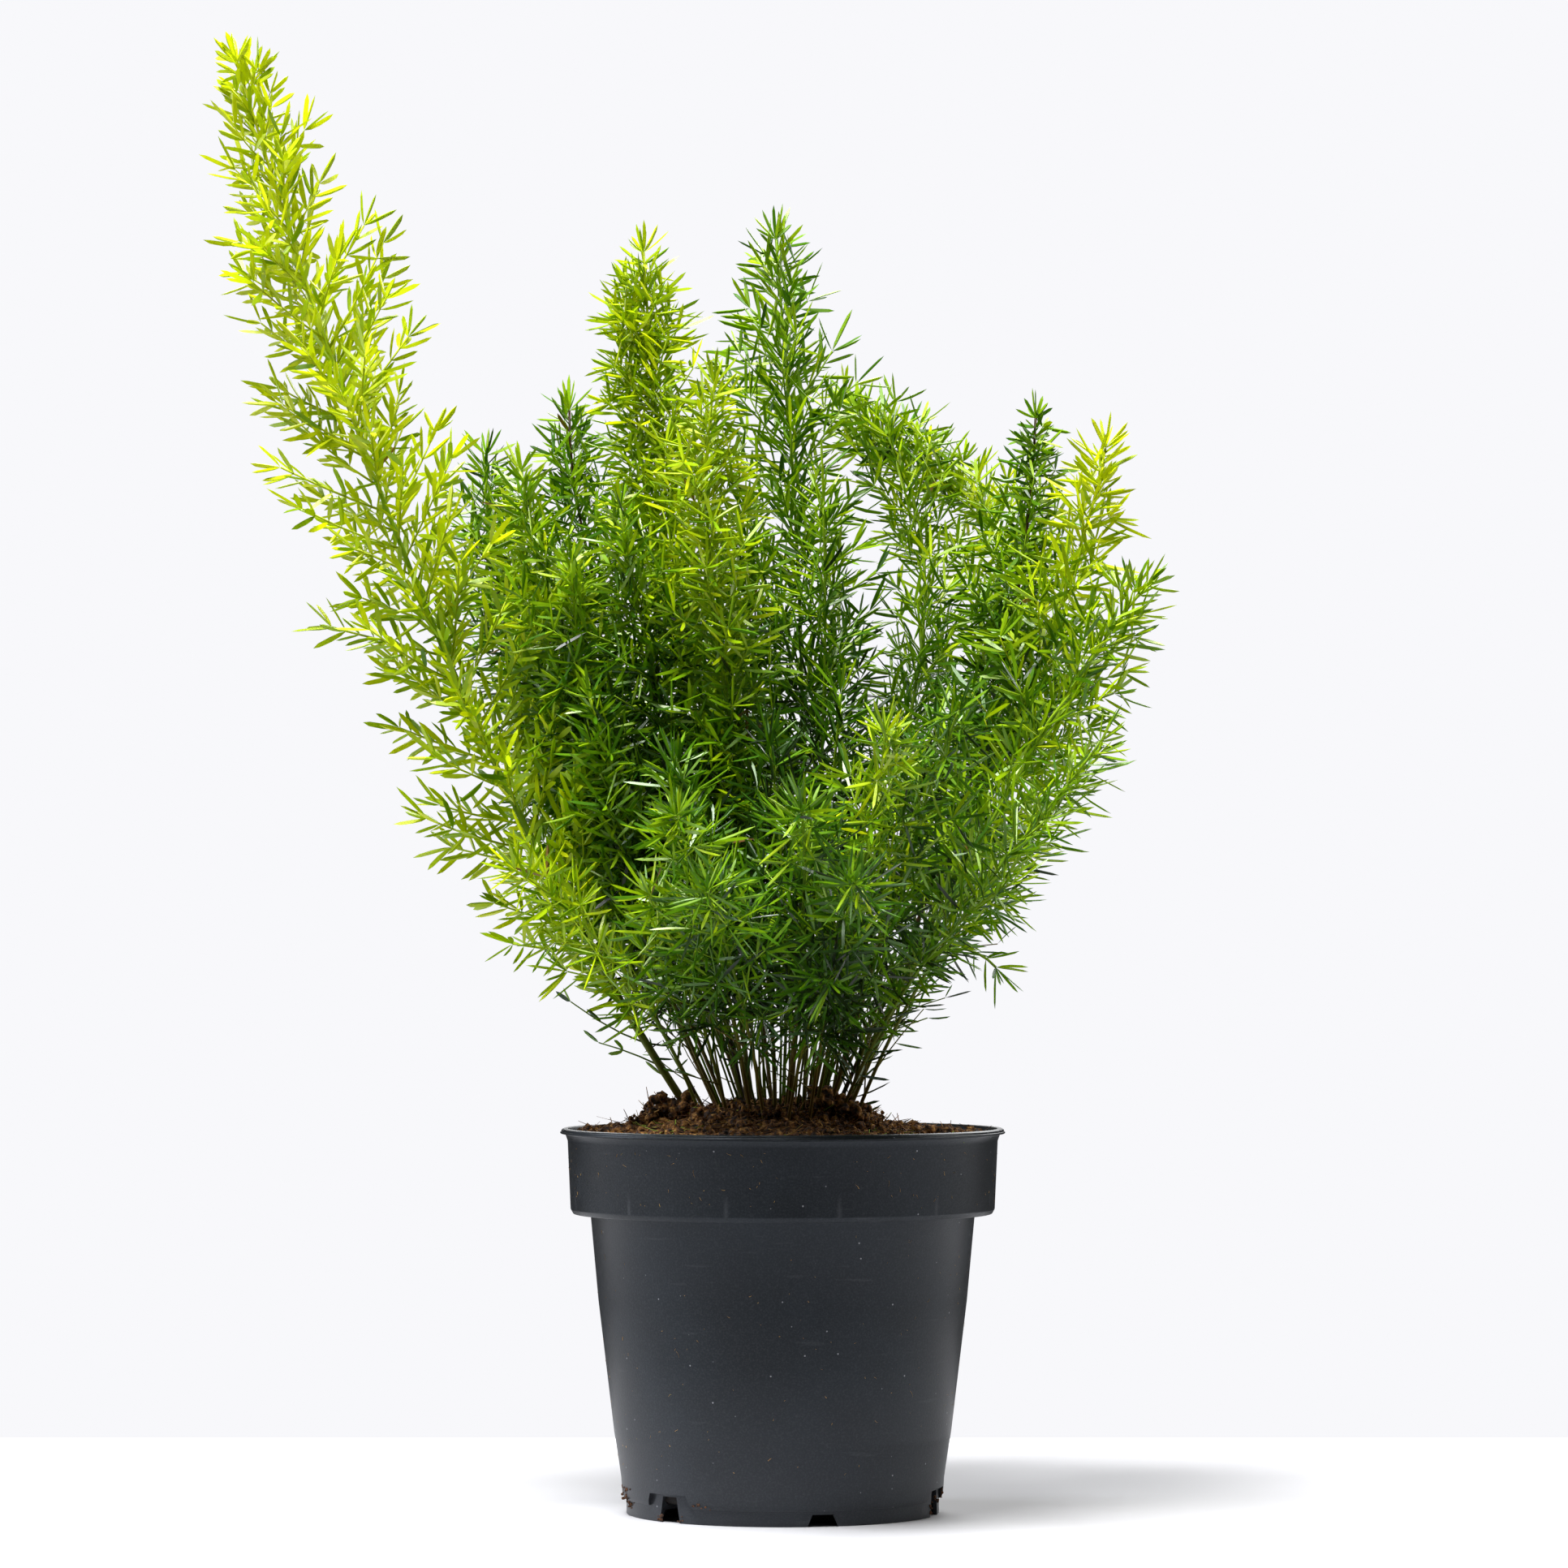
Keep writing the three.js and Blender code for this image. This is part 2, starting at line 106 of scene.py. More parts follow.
# Clods that stand up among the stems: place across the pot and radius, in millimetres
CLODS = [
    (-48, -12, 8.6), (-42, -8, 9.0), (-38, -14, 7.4), (-51, -4, 6.0), (-56, -14, 4.0),
    (-33, -20, 4.6), (14, -20, 5.4), (19, -15, 11.6), (25, -18, 9.0), (28, -8, 6.4),
    (18, -6, 6.4), (32, -14, 5.0), (2, -28, 5.6), (-16, -28, 5.0), (-6, -32, 4.6),
    (36, 6, 5.0), (-40, 12, 5.0), (10, 34, 5.4), (-16, 38, 4.6), (32, 26, 4.4),
]
LUMPS_IN_CLOD = 22

# Patches of moss, most of them towards the front: place across the pot and radius
MOSS = [(38, -52, 13), (-42, -46, 10), (-4, -70, 7), (-48, -24, 7), (58, -38, 6)]
MOSS_TONE = 0.9

# How far out crumbs and fibres lie on the mix
CRUMBS_REACH = 79
FIBRES_REACH = 77

# The outline of the pot's wall and of its band, the heights between which dust fibres cling to
# each, and the share of them that is on the band
WALL_LINE = [WALL_FOOT, MOULD_LINE, WALL_LOW, WALL_MIDDLE, (BODY_TOP_RADIUS, BAND_FOOT_Z)]
WALL_DUST = (16, 110)
BAND_LINE = [BAND_FOOT, BAND_TOP]
BAND_DUST = (118, 140)
ON_BAND = 0.4
# Where crumbs gather at the pot's foot: degrees round it from the front, spread in degrees,
# lowest and highest place in millimetres, and number
GATHERED = [
    (-78, 4, 3, 11, 60), (-51, 0.8, 0.6, 3, 12), (-40, 0.8, 0.6, 3, 6),
    (-30, 3, 6, 8, 8), (70, 1, 0.6, 8, 10), (80, 1.5, 5, 10, 16),
]

# Growth of a stem, in millimetres, as in the CAD source
STEM_DEPTH = 12
TIP_RADIUS = 0.5
SPRAY_START = 20
SPRAY_STEP = 36

# Distance from a stem's tip to the star of cladodes at its end
TIP_STAR = 5

# Leafy stems: where each leaves the soil, two points that it passes, its tip, its thickness at
# the soil, its longest branchlet, and how young it is (0 old dark green, 1 new yellow green)
STEMS = [
    ((-35, -6), (-107, -12, 280), (-163, -14, 415), (-210, -10, 559), 5.6, 42, 0.95),
    ((-12, 4), (-28, 12, 268), (-44, 18, 380), (-54, 20, 489), 3.2, 30, 0.7),
    ((-3, -16), (-12, -32, 252), (-26, -42, 345), (-25, -45, 432), 3, 26, 0.67),
    ((3, 10), (8, 24, 270), (5, 34, 382), (-3, 38, 496), 3.2, 34, 0.36),
    ((20, 6), (59, 14, 243), (86, 20, 328), (98, 22, 425), 3, 28, 0.34),
    ((23, -2), (64, -6, 243), (103, -8, 338), (124, -8, 411), 3, 30, 0.95),
    ((24, -10), (58, -20, 224), (102, -28, 302), (141, -32, 356), 3.2, 28, 0.6),
    ((11, 14), (38, 42, 258), (56, 64, 358), (24, 88, 433), 2.8, 30, 0.52),
    ((18, 14), (55, 44, 262), (84, 70, 352), (64, 98, 402), 2.8, 30, 0.55),
    ((-22, 14), (-64, 36, 245), (-104, 56, 335), (-116, 68, 414), 2.8, 26, 0.28),
    ((-15, 12), (-42, 38, 258), (-72, 58, 352), (-84, 72, 432), 2.8, 26, 0.28),
    ((-24, -3), (-58, -6, 238), (-84, -8, 326), (-101, -6, 402), 2.8, 26, 0.5),
    ((-30, 5), (-68, 22, 232), (-94, 34, 312), (-108, 42, 388), 2.6, 26, 0.6),
    ((25, 5), (41, -2, 198), (64, -8, 215), (84, -14, 204), 2.2, 18, 0.3),
    ((27, -18), (60, -46, 216), (95, -68, 263), (120, -80, 296), 2.6, 28, 0.42),
    ((24, 13), (53, 28, 212), (86, 40, 249), (107, 48, 269), 2.6, 28, 0.47),
    ((21, -20), (46, -46, 200), (70, -70, 229), (88, -88, 241), 2.4, 26, 0.37),
    ((2, -23), (6, -60, 205), (8, -102, 245), (6, -140, 266), 2.6, 30, 0.25),
    ((12, -19), (24, -54, 212), (33, -88, 262), (38, -120, 297), 2.6, 28, 0.6),
    ((10, -28), (17, -66, 196), (23, -108, 226), (26, -148, 240), 2.4, 28, 0.2),
    ((2, -33), (8, -58, 180), (14, -88, 200), (17, -118, 202), 2.2, 24, 0.2),
    ((-12, -24), (-22, -56, 206), (-32, -90, 244), (-40, -122, 266), 2.6, 28, 0.35),
    ((-7, -33), (-14, -64, 190), (-22, -102, 221), (-28, -140, 237), 2.4, 28, 0.3),
    ((-21, -21), (-31, -44, 190), (-41, -70, 219), (-50, -96, 237), 2.4, 26, 0.45),
    ((-31, -16), (-56, -32, 201), (-82, -46, 231), (-104, -56, 247), 2.4, 31, 0.74),
    ((-4, 22), (-14, 64, 235), (-24, 100, 305), (-32, 132, 360), 2.8, 30, 0.3),
    ((9, 24), (32, 60, 232), (52, 94, 300), (66, 124, 348), 2.8, 30, 0.35),
    ((-15, 23), (-42, 56, 226), (-72, 88, 285), (-94, 116, 330), 2.8, 30, 0.25),
    ((2, 32), (8, 72, 205), (12, 116, 245), (14, 156, 266), 2.4, 28, 0.4),
    ((-12, 33), (-34, 70, 198), (-56, 110, 232), (-74, 148, 250), 2.4, 28, 0.35),
    ((17, 31), (42, 66, 200), (68, 104, 236), (88, 140, 256), 2.4, 28, 0.3),
    ((-13, -8), (-32, -20, 250), (-50, -32, 325), (-62, -40, 386), 2.8, 28, 0.35),
    ((8, -5), (13, -6, 250), (16, -8, 325), (15, -10, 392), 2.8, 28, 0.38),
    ((17, -13), (37, -46, 218), (53, -80, 270), (66, -110, 306), 2.6, 28, 0.27),
    ((24, 22), (61, 52, 232), (96, 79, 288), (120, 100, 325), 2.6, 28, 0.42),
    ((-25, 23), (-60, 50, 226), (-88, 74, 280), (-108, 92, 312), 2.6, 30, 0.3),
]

# Further shoots that rise from a stem: its number, four points that the shoot passes, its
# thickness at its foot and its longest branchlet
SHOOTS = [
    (2, (-43, 22, 340), (-52, 24, 388), (-58, 24, 434), (-61, 22, 474), 1.6, 13),
    (4, (-2, 16, 236), (-8, 24, 290), (-13, 28, 345), (-13, 30, 390), 1.6, 22),
    (8, (42, 78, 394), (37, 84, 417), (50, 88, 416), (66, 92, 398), 1.4, 14),
    (12, (-62, -6, 262), (-72, -18, 300), (-78, -26, 336), (-80, -30, 366), 1.4, 22),
    (12, (-50, -5, 215), (-58, -30, 250), (-66, -40, 285), (-74, -44, 314), 1.6, 22),
    (22, (-14, -40, 185), (-24, -58, 222), (-34, -62, 258), (-42, -60, 290), 1.6, 22),
    (18, (4, -45, 185), (1, -58, 228), (-2, -60, 266), (-6, -58, 298), 1.6, 22),
    (33, (13, -6, 235), (17, -26, 262), (20, -36, 290), (22, -40, 316), 1.6, 20),
]

# Stems that have turned brown to the tip, and the brown's tone
WOODY = (5, 11)
WOODY_TONE = 0.03

# Largest share of a stem's length that stays bare, and its shortest branchlet in millimetres
MOST_BARE = 0.5
SHORTEST_BRANCHLET = 3.0
# Wiry twigs at a stem's foot: distance between them, and ranges of their leans and lengths
TWIG_STEP = 10
TWIG_LEANS = (12, 55)
TWIG_LENGTHS = (9, 30)
# Thin shoots that rise from the mix near each stem: number, and ranges of their distance from
# the stem and of their lengths
WIRY = 1
WIRY_BESIDE = (2, 5)
WIRY_LENGTHS = (45, 105)

# The cone below which no foliage hangs: its axis, how much shallower it is to the front and back,
# its height round the stems' feet, the radius of that ring, and how steeply it rises outside it.
# On the plant's right it rises from closer in, with a slope of its own.
SKIRT = {
    "x": -15, "y": -20, "deep": 0.6, "z": 164, "r": 40, "slope": 0.9, "right": 20, "steep": 0.8,
}
# How far above it leafy branchlets end, and how far below it wiry twigs may
LEAVES_ABOVE_SKIRT = 8
TWIGS_BELOW_SKIRT = 6

# How a stem grows, in millimetres and degrees. First: distance from the tip to the first
# branchlet. Step: distance between branchlets. Short: length of the first ones. Grow: how much
# longer they are for each millimetre further down. Trim: what the cladodes at its end take off a
# branchlet. Slim: distance from the tip where the plume narrows. Bare: stretch at the foot with
# few twigs. Flat: most that a branchlet leans. Gap, whorl, star: distance between whorls, cladodes
# to a whorl, and to the star at a branchlet's end. Lean: angle between a cladode and what bears
# it. Length, width: of a cladode. On stem: stretch below the tip where the stem itself bears
# whorls. Fade: how much the tone falls with each millimetre from 30 to 120 below the tip.
Habit = namedtuple(
    "Habit",
    "first step short grow trim slim bare flat gap whorl star lean length width on_stem fade",
    defaults=[0],
)
HABITS = {
    "foxtail": Habit(13, 3.3, 9, 0.36, 5, 400, 54, 56, 4.4, 3.8, 6, 66, 13.2, 1.45, 170),
    "broad": Habit(14, 3.7, 12, 0.26, 3, 400, 34, 54, 5.2, 3.2, 4, 48, 12.6, 1.9, 150),
    "open": Habit(13, 3.7, 10, 0.34, 4, 400, 100, 56, 4.9, 3.0, 5, 54, 14.2, 1.6, 150),
    "arching": Habit(10, 3.1, 18, 0.36, 5, 55, 80, 56, 4.8, 3.1, 6, 60, 12.8, 1.42, 100),
    "spire": Habit(13, 3.3, 8, 0.3, 3, 400, 90, 64, 3.7, 4.0, 5, 74, 11.0, 1.5, 170),
    "level": Habit(14, 3.8, 6, 0.2, 1, 400, 150, 64, 4.6, 3.4, 6, 68, 15.0, 1.55, 130, 0.0045),
    "starry": Habit(9, 4.3, 9, 0.36, 6, 400, 35, 66, 5.4, 2.6, 8, 66, 15.6, 1.3, 60),
    "sparse": Habit(12, 4.5, 8, 0.33, 7, 110, 84, 56, 5.2, 2.5, 6, 58, 15.4, 1.24, 120),
}
HABIT_OF = {
    1: "broad", 4: "open", 5: "spire", 6: "level", 7: "open", 8: "arching", 9: "arching",
    **dict.fromkeys((14, 15, 16, 17, 27, 33, 35), "sparse"),
    **dict.fromkeys((*range(18, 26), 29, 30, 31, 34, 36), "starry"),
}

# Angles from the stem at which the cladodes of its tip stand, three at each, in degrees
TIP_LEANS = (14, 42, 68)
# Thickness of a cladode as a share of its width, and the tone of a dried one
BLADE_DEPTH = 0.52
DRY_TONE = 0.03


def mounded(x, y):
    """Height of the heaped potting mix at a place across the pot, in millimetres."""
    across = (x - MOUND["x"]) ** 2 + (y - MOUND["y"]) ** 2
    return SOIL_EDGE_Z + MOUND["height"] * math.exp(-across / (2 * MOUND["spread"] ** 2))


def unit(vectors):
    return vectors / np.linalg.norm(vectors, axis=-1, keepdims=True)


# Colours and node trees


def linear(colour):
    """A hex sRGB colour as the linear RGBA that Blender's sockets take."""
    parts = [int(colour[i : i + 2], 16) / 255 for i in (1, 3, 5)]
    curved = [c / 12.92 if c <= 0.04045 else ((c + 0.055) / 1.055) ** 2.4 for c in parts]
    return (*curved, 1.0)


def add_node(tree, kind, inputs=None, stops=(), **settings):
    """A new node with its settings and, on a colour ramp, its stops. Each input takes a plain
    value, a socket to link, or a node, which stands for its first output."""
    node = tree.nodes.new("ShaderNode" + kind)
    for name, value in settings.items():
        if name in node.bl_rna.properties:
            setattr(node, name, value)
        else:
            node.inputs[name.replace("_", " ")].default_value = value
    for name, given in (inputs or {}).items():
        if isinstance(given, bpy.types.Node):
            given = given.outputs[0]
        if isinstance(given, bpy.types.NodeSocket):
            tree.links.new(given, node.inputs[name])
        else:
            node.inputs[name].default_value = given
    for k, (place, colour) in enumerate(stops):
        elements = node.color_ramp.elements
        element = elements[k] if k < len(elements) else elements.new(place)
        element.position = place
        element.color = linear(colour)
    return node


def new_material(name):
    """A material and its node tree, which is still empty."""
    material = bpy.data.materials.new(name)
    material.use_nodes = True
    material.node_tree.nodes.clear()
    return material, material.node_tree


def shared(name, make):
    """The material of that name, made the first time that it is asked for."""
    return bpy.data.materials.get(name) or make()


def dust_and_scuffs(tree, place):
    """How much nursery dust and scuffing covers the pot."""
    # Dust: specks of about half a millimetre, a centimetre or two apart
    specks = add_node(tree, "TexVoronoi", {"Vector": place}, Scale=1 / (4.2 * MM))
    near = add_node(
        tree, "MapRange", {"Value": specks}, From_Min=0.05, From_Max=0.09, To_Min=1.0, To_Max=0.0
    )
    chance = add_node(tree, "SeparateColor", {"Color": specks.outputs["Color"]})
    chosen = add_node(tree, "Math", {0: chance, 1: 0.7}, operation="GREATER_THAN")
    dust = add_node(tree, "Math", {0: near, 1: chosen}, operation="MULTIPLY")
    # Scuffs run round the pot: each is about 20 mm long and 2 to 3 mm high
    turned = add_node(tree, "Mapping", {"Vector": place}, Scale=(30, 30, 260))
    scuffs = add_node(tree, "TexNoise", {"Vector": turned}, Scale=1.6)
    scuffed = add_node(
        tree, "MapRange", {"Value": scuffs}, From_Min=0.66, From_Max=0.78, To_Max=0.05
    )
    return add_node(tree, "Math", {0: dust, 1: scuffed}, operation="MAXIMUM")


def streaks_over(tree, across, under):
    """Twelve faint upright streaks, about 2 mm wide, on the foot of the band, added to what lies
    under them."""
    around = add_node(
        tree, "Math", {0: across.outputs["X"], 1: across.outputs["Y"]}, operation="ARCTAN2"
    )
    half_turn = math.radians(STREAK_TURN / 2)
    nearest = add_node(tree, "Math", {0: around, 1: half_turn}, operation="PINGPONG")
    on_line = add_node(
        tree, "MapRange", {"Value": nearest},
        From_Min=math.radians(STREAK_TURN / 2 - STREAK_HALF), From_Max=half_turn,
    )
    low = add_node(
        tree, "MapRange", {"Value": across.outputs["Z"]},
        From_Min=(BAND_FOOT_Z + STREAK_END) * MM, From_Max=(BAND_FOOT_Z + STREAK_FADE) * MM,
        To_Max=0.09,
    )
    streak = add_node(tree, "Math", {0: on_line, 1: low}, operation="MULTIPLY")
    start = (BAND_FOOT_Z + STREAK_START) * MM
    above = add_node(tree, "Math", {0: across.outputs["Z"], 1: start}, operation="GREATER_THAN")
    return add_node(tree, "Math", {0: streak, 1: above, 2: under}, operation="MULTIPLY_ADD")


def polypropylene_moulded():
    """Polypropylene, injection moulded: a slate body colour, a satin skin with a fine grain, and
    a little potting dust and a few scuffs from the nursery. Its lowest part is painted paler:
    painted light bounced from the floor, with some dust."""
    material, tree = new_material("moulded_polypropylene")
    place = add_node(tree, "TexCoord").outputs["Object"]
    across = add_node(tree, "SeparateXYZ", {"Vector": place})
    cloudy = add_node(tree, "TexNoise", {"Vector": place}, Scale=1 / (28 * MM), Detail=4.0)
    shades = [(0.3, "#121517"), (0.55, "#161a1d"), (0.8, "#1b2024")]
    body = add_node(tree, "ValToRGB", {"Fac": cloudy}, shades)
    marked = streaks_over(tree, across, dust_and_scuffs(tree, place))
    # The skin's pale speckle, about half a millimetre across
    speckle = add_node(tree, "TexNoise", {"Vector": place}, Scale=1 / (0.7 * MM), Detail=2.0)
    pale = add_node(
        tree, "MapRange", {"Value": speckle}, From_Min=0.45, From_Max=0.75, To_Max=0.045
    )
    # Painted light bounced from the floor, with some dust splashed up by watering: the wall is
    # paler towards its foot, from 60 mm down to 10 mm
    floor_glow_and_dust = add_node(
        tree, "MapRange", {"Value": across.outputs["Z"]},
        From_Min=60 * MM, From_Max=10 * MM, To_Max=0.07,
    )
    speckle_and_floor_glow = add_node(tree, "Math", {0: floor_glow_and_dust, 1: pale}, operation="ADD")
    wear_and_floor_glow = add_node(tree, "Math", {0: marked, 1: speckle_and_floor_glow}, operation="ADD")
    colour = add_node(tree, "Mix", {0: wear_and_floor_glow, 6: body, 7: linear("#8a8b90")}, data_type="RGBA")
    grain = add_node(tree, "TexNoise", {"Vector": place}, Scale=1 / (0.8 * MM), Detail=3.0)
    skin = add_node(tree, "Bump", {"Height": grain}, Strength=0.4, Distance=0.12 * MM)
    satin = add_node(tree, "MapRange", {"Value": cloudy}, To_Min=0.3, To_Max=0.44)
    shader = add_node(
        tree, "BsdfPrincipled",
        {"Base Color": colour.outputs[2], "Roughness": satin, "Normal": skin},
        IOR=1.49, Specular_IOR_Level=0.28, Specular_Tint=linear("#eaf2ff"),
    )
    add_node(tree, "OutputMaterial", {"Surface": shader})
    return material


def peat_damp():
    """Peat potting mix, damp and crumbled: near-black brown with rusty and tan grains, matt. Low
    in the pot it is painted almost black, as shade.
    """
    material, tree = new_material("damp_peat")
    place = add_node(tree, "TexCoord").outputs["Object"]
    grains = add_node(tree, "TexNoise", {"Vector": place}, Scale=1 / (2.2 * MM), Detail=6.0)
    shades = [(0.36, "#170d05"), (0.48, "#4a2c10"), (0.58, "#865a28"), (0.72, "#c09450")]
    colour = add_node(tree, "ValToRGB", {"Fac": grains}, shades)
    # Painted shade: low in the pot the mix is darkened almost to black, from 90 mm down to 20 mm
    height = add_node(tree, "SeparateXYZ", {"Vector": place}).outputs["Z"]
    shade_low_in_pot = add_node(
        tree, "MapRange", {"Value": height}, From_Min=20 * MM, From_Max=90 * MM, To_Min=0.03
    )
    shaded_mix = add_node(
        tree, "Mix", {0: 1.0, 6: colour, 7: shade_low_in_pot}, data_type="RGBA", blend_type="MULTIPLY"
    )
    bump = add_node(tree, "Bump", {"Height": grains}, Strength=0.7, Distance=0.6 * MM)
    shader = add_node(
        tree, "BsdfPrincipled", {"Base Color": shaded_mix.outputs[2], "Normal": bump}, Roughness=0.92
    )
    add_node(tree, "OutputMaterial", {"Surface": shader})
    return material


def toned_material(name, stops, roughness, grain_size, gloss=0.5, through=0.0):
    """A material coloured by each piece's own tone attribute, broken up by a fine grain, whose
    size is in millimetres. Through is the share of light that a thin blade lets through."""
    material, tree = new_material(name)
    place = add_node(tree, "TexCoord").outputs["Object"]
    tone = add_node(tree, "Attribute", attribute_name="tone").outputs["Fac"]
    grain = add_node(tree, "TexNoise", {"Vector": place}, Scale=1 / (grain_size * MM), Detail=2.0)
    shift = add_node(tree, "MapRange", {"Value": grain}, To_Min=-0.06, To_Max=0.06)
    mottled = add_node(tree, "Math", {0: tone, 1: shift}, operation="ADD", use_clamp=True)
    colour = add_node(tree, "ValToRGB", {"Fac": mottled}, stops)
    bump = add_node(tree, "Bump", {"Height": grain}, Strength=0.15, Distance=0.1 * MM)
    surface = add_node(
        tree, "BsdfPrincipled", {"Base Color": colour, "Normal": bump},
        Roughness=roughness, Specular_IOR_Level=gloss,
    )
    if through:
        # Light that comes through a blade is yellower than what its face sends back
        tint = add_node(tree, "Mix", {0: 0.3, 6: colour, 7: linear("#b8d005")}, data_type="RGBA")
        glow = add_node(tree, "BsdfTranslucent", {"Color": tint.outputs[2]})
        surface = add_node(tree, "MixShader", {0: through, 1: surface, 2: glow})
    add_node(tree, "OutputMaterial", {"Surface": surface})
    return material


def cladode_green():
    """Living cladodes: thin waxy green blades that light shines through, from old dark green to
    new yellow green. The darkest greens, near black, carry the painted shade deep in the plant.
    The lowest tones are the few that have dried to straw."""
    stops = [
        (0.0, "#b58a4e"), (0.05, "#8c6a34"), (0.08, "#0b1f01"), (0.2, "#275402"),
        (0.34, "#528802"), (0.5, "#82ae04"), (0.7, "#b0cd04"), (0.85, "#c4d805"),
        (1.0, "#e2ea07"),
    ]
    return toned_material("waxy_cladode", stops, 0.33, 3.0, gloss=0.55, through=0.35)


def stem_green():
    """Green fern stems: smooth and satin, woody brown at the soil, olive and then green above."""
    stops = [
        (0.0, "#2a1b0c"), (0.2, "#66521f"), (0.45, "#5a7812"), (0.75, "#86a812"),
        (1.0, "#bcc414"),
    ]
    return toned_material("green_stem", stops, 0.5, 1.6, gloss=0.2)


def plant_scraps():
    """Scraps in the mix: dark and tan peat fibres, bark slivers and a little green moss."""
    stops = [
        (0.0, "#2a170a"), (0.3, "#6a4018"), (0.55, "#95692c"), (0.72, "#c09a58"),
        (0.76, "#5d7a1c"), (1.0, "#a3b53a"),
    ]
    return toned_material("peat_fibre", stops, 0.85, 1.0)


# Objects


def linked(name, mesh):
    made = bpy.data.objects.new(name, mesh)
    bpy.context.scene.collection.objects.link(made)
    return made


def object_from(name, bm):
    """An object with a bmesh as its mesh. The bmesh is freed."""
    mesh = bpy.data.meshes.new(name)
    bm.to_mesh(mesh)
    bm.free()
    return linked(name, mesh)


def finish_piece(piece, material, node, replaces=True):
    """Finishes a piece of the object: it takes the given material, rides on the frame, and hides
    the CAD node that it replaces unless it only lies on it."""
    piece.data.materials.append(material)
    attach(piece, "root")
    if replaces:
        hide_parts(node)


# Shapes that are copied, and pieces made from their copies


def arrays_of(bm):
    """A bmesh's places and its triangles as arrays. The bmesh is freed."""
    bmesh.ops.triangulate(bm, faces=bm.faces[:])
    bmesh.ops.recalc_face_normals(bm, faces=bm.faces[:])
    bm.verts.index_update()
    places = np.array([vert.co[:] for vert in bm.verts])
    corners = np.array([[vert.index for vert in face.verts] for face in bm.faces])
    bm.free()
    return places, corners


def blade_shape():
    """A blade from 0 to 1 up Z, about 1 to either side in X, broad in front and keeled behind.
    Its edges are nearly parallel between a narrow root and a short point."""
    bm = bmesh.new()
    bmesh.ops.create_uvsphere(bm, u_segments=3, v_segments=4, radius=1)
    turn = Matrix.Rotation(math.radians(90), 3, "Z")
    bmesh.ops.rotate(bm, cent=(0, 0, 0), matrix=turn, verts=bm.verts)
    bmesh.ops.scale(bm, vec=(1.15, 1, 0.5), verts=bm.verts)
    bmesh.ops.translate(bm, vec=(0, 0, 0.5), verts=bm.verts)
    near_root = [vert for vert in bm.verts if 0.1 < vert.co.z < 0.3]
    near_point = [vert for vert in bm.verts if 0.7 < vert.co.z < 0.9]
    bmesh.ops.scale(bm, vec=(1.1, 1.1, 1.5), verts=near_root)
    bmesh.ops.scale(bm, vec=(1.2, 1.2, 0.98), verts=near_point)
    return arrays_of(bm)


def rod_shape(sides, steps, taper):
    """A rod from 0 to 1 up Z, of radius 1 at its foot and taper at its head, in even steps."""
    bm = bmesh.new()
    bmesh.ops.create_cone(bm, segments=sides, radius1=1, radius2=taper, depth=1, cap_ends=True)
    bmesh.ops.translate(bm, vec=(0, 0, 0.5), verts=bm.verts)
    risers = [e for e in bm.edges if abs(e.verts[0].co.z - e.verts[1].co.z) > 0.5]
    bmesh.ops.subdivide_edges(bm, edges=risers, cuts=steps - 1)
    return arrays_of(bm)


def crumb_shape(subdivisions):
    """A rough ball, about 1 in radius."""
    bm = bmesh.new()
    bmesh.ops.create_icosphere(bm, subdivisions=subdivisions, radius=1)
    for vert in bm.verts:
        vert.co *= 1 + 0.5 * noise.noise(vert.co * 2.1)
    return arrays_of(bm)


def copies(shape, tones, roots, axes, sides, lengths, widths, depths, bends=np.zeros(3)):
    """Copies of a shape as (points, triangles, tones). Each has a tone of its own, and is drawn
    out along its axis from its root and bent on the way."""
    places, corners = shape
    x, y, z = places.T
    normals = np.cross(axes, sides)
    reach = lengths[:, None] * z
    spread = widths[:, None] * x
    lift = depths[:, None] * y
    points = (
        roots[:, None]
        + axes[:, None] * reach[..., None]
        + bends[..., None, :] * (reach * z)[..., None]
        + sides[:, None] * spread[..., None]
        + normals[:, None] * lift[..., None]
    )
    starts = np.arange(len(roots)) * len(places)
    faces = corners + starts[:, None, None]
    return points.reshape(-1, 3), faces.reshape(-1, 3), np.repeat(tones, len(places))


def toned_piece(name, parts, smooth, material, node, replaces=True):
    """A piece joined from several (points, triangles, tones). Its tones are an attribute."""
    points, faces, tones = zip(*parts)
    starts = np.cumsum([0] + [len(each) for each in points])
    faces = np.concatenate([each + start for each, start in zip(faces, starts)])
    mesh = bpy.data.meshes.new(name)
    mesh.from_pydata(np.concatenate(points).tolist(), [], faces.tolist())
    tone = mesh.attributes.new("tone", "FLOAT", "POINT")
    tone.data.foreach_set("value", np.clip(np.concatenate(tones), 0, 1).astype(np.float32))
    mesh.polygons.foreach_set("use_smooth", np.full(len(faces), smooth))
    mesh.update()
    finish_piece(linked(name, mesh), material, node, replaces)


# Pot


def spun(profile, segments):
    """A closed ring or vessel: a profile of (radius, height) in millimetres, spun round Z."""
    bm = bmesh.new()
    verts = [bm.verts.new((radius * MM, 0, z * MM)) for radius, z in profile]
    edges = [bm.edges.new(pair) for pair in zip(verts, verts[1:])]
    bmesh.ops.spin(
        bm, geom=verts + edges, axis=(0, 0, 1), cent=(0, 0, 0), angle=2 * math.pi,
        steps=segments, use_merge=True,
    )
    bmesh.ops.remove_doubles(bm, verts=bm.verts, dist=1e-6)
    bmesh.ops.recalc_face_normals(bm, faces=bm.faces[:])
    return bm


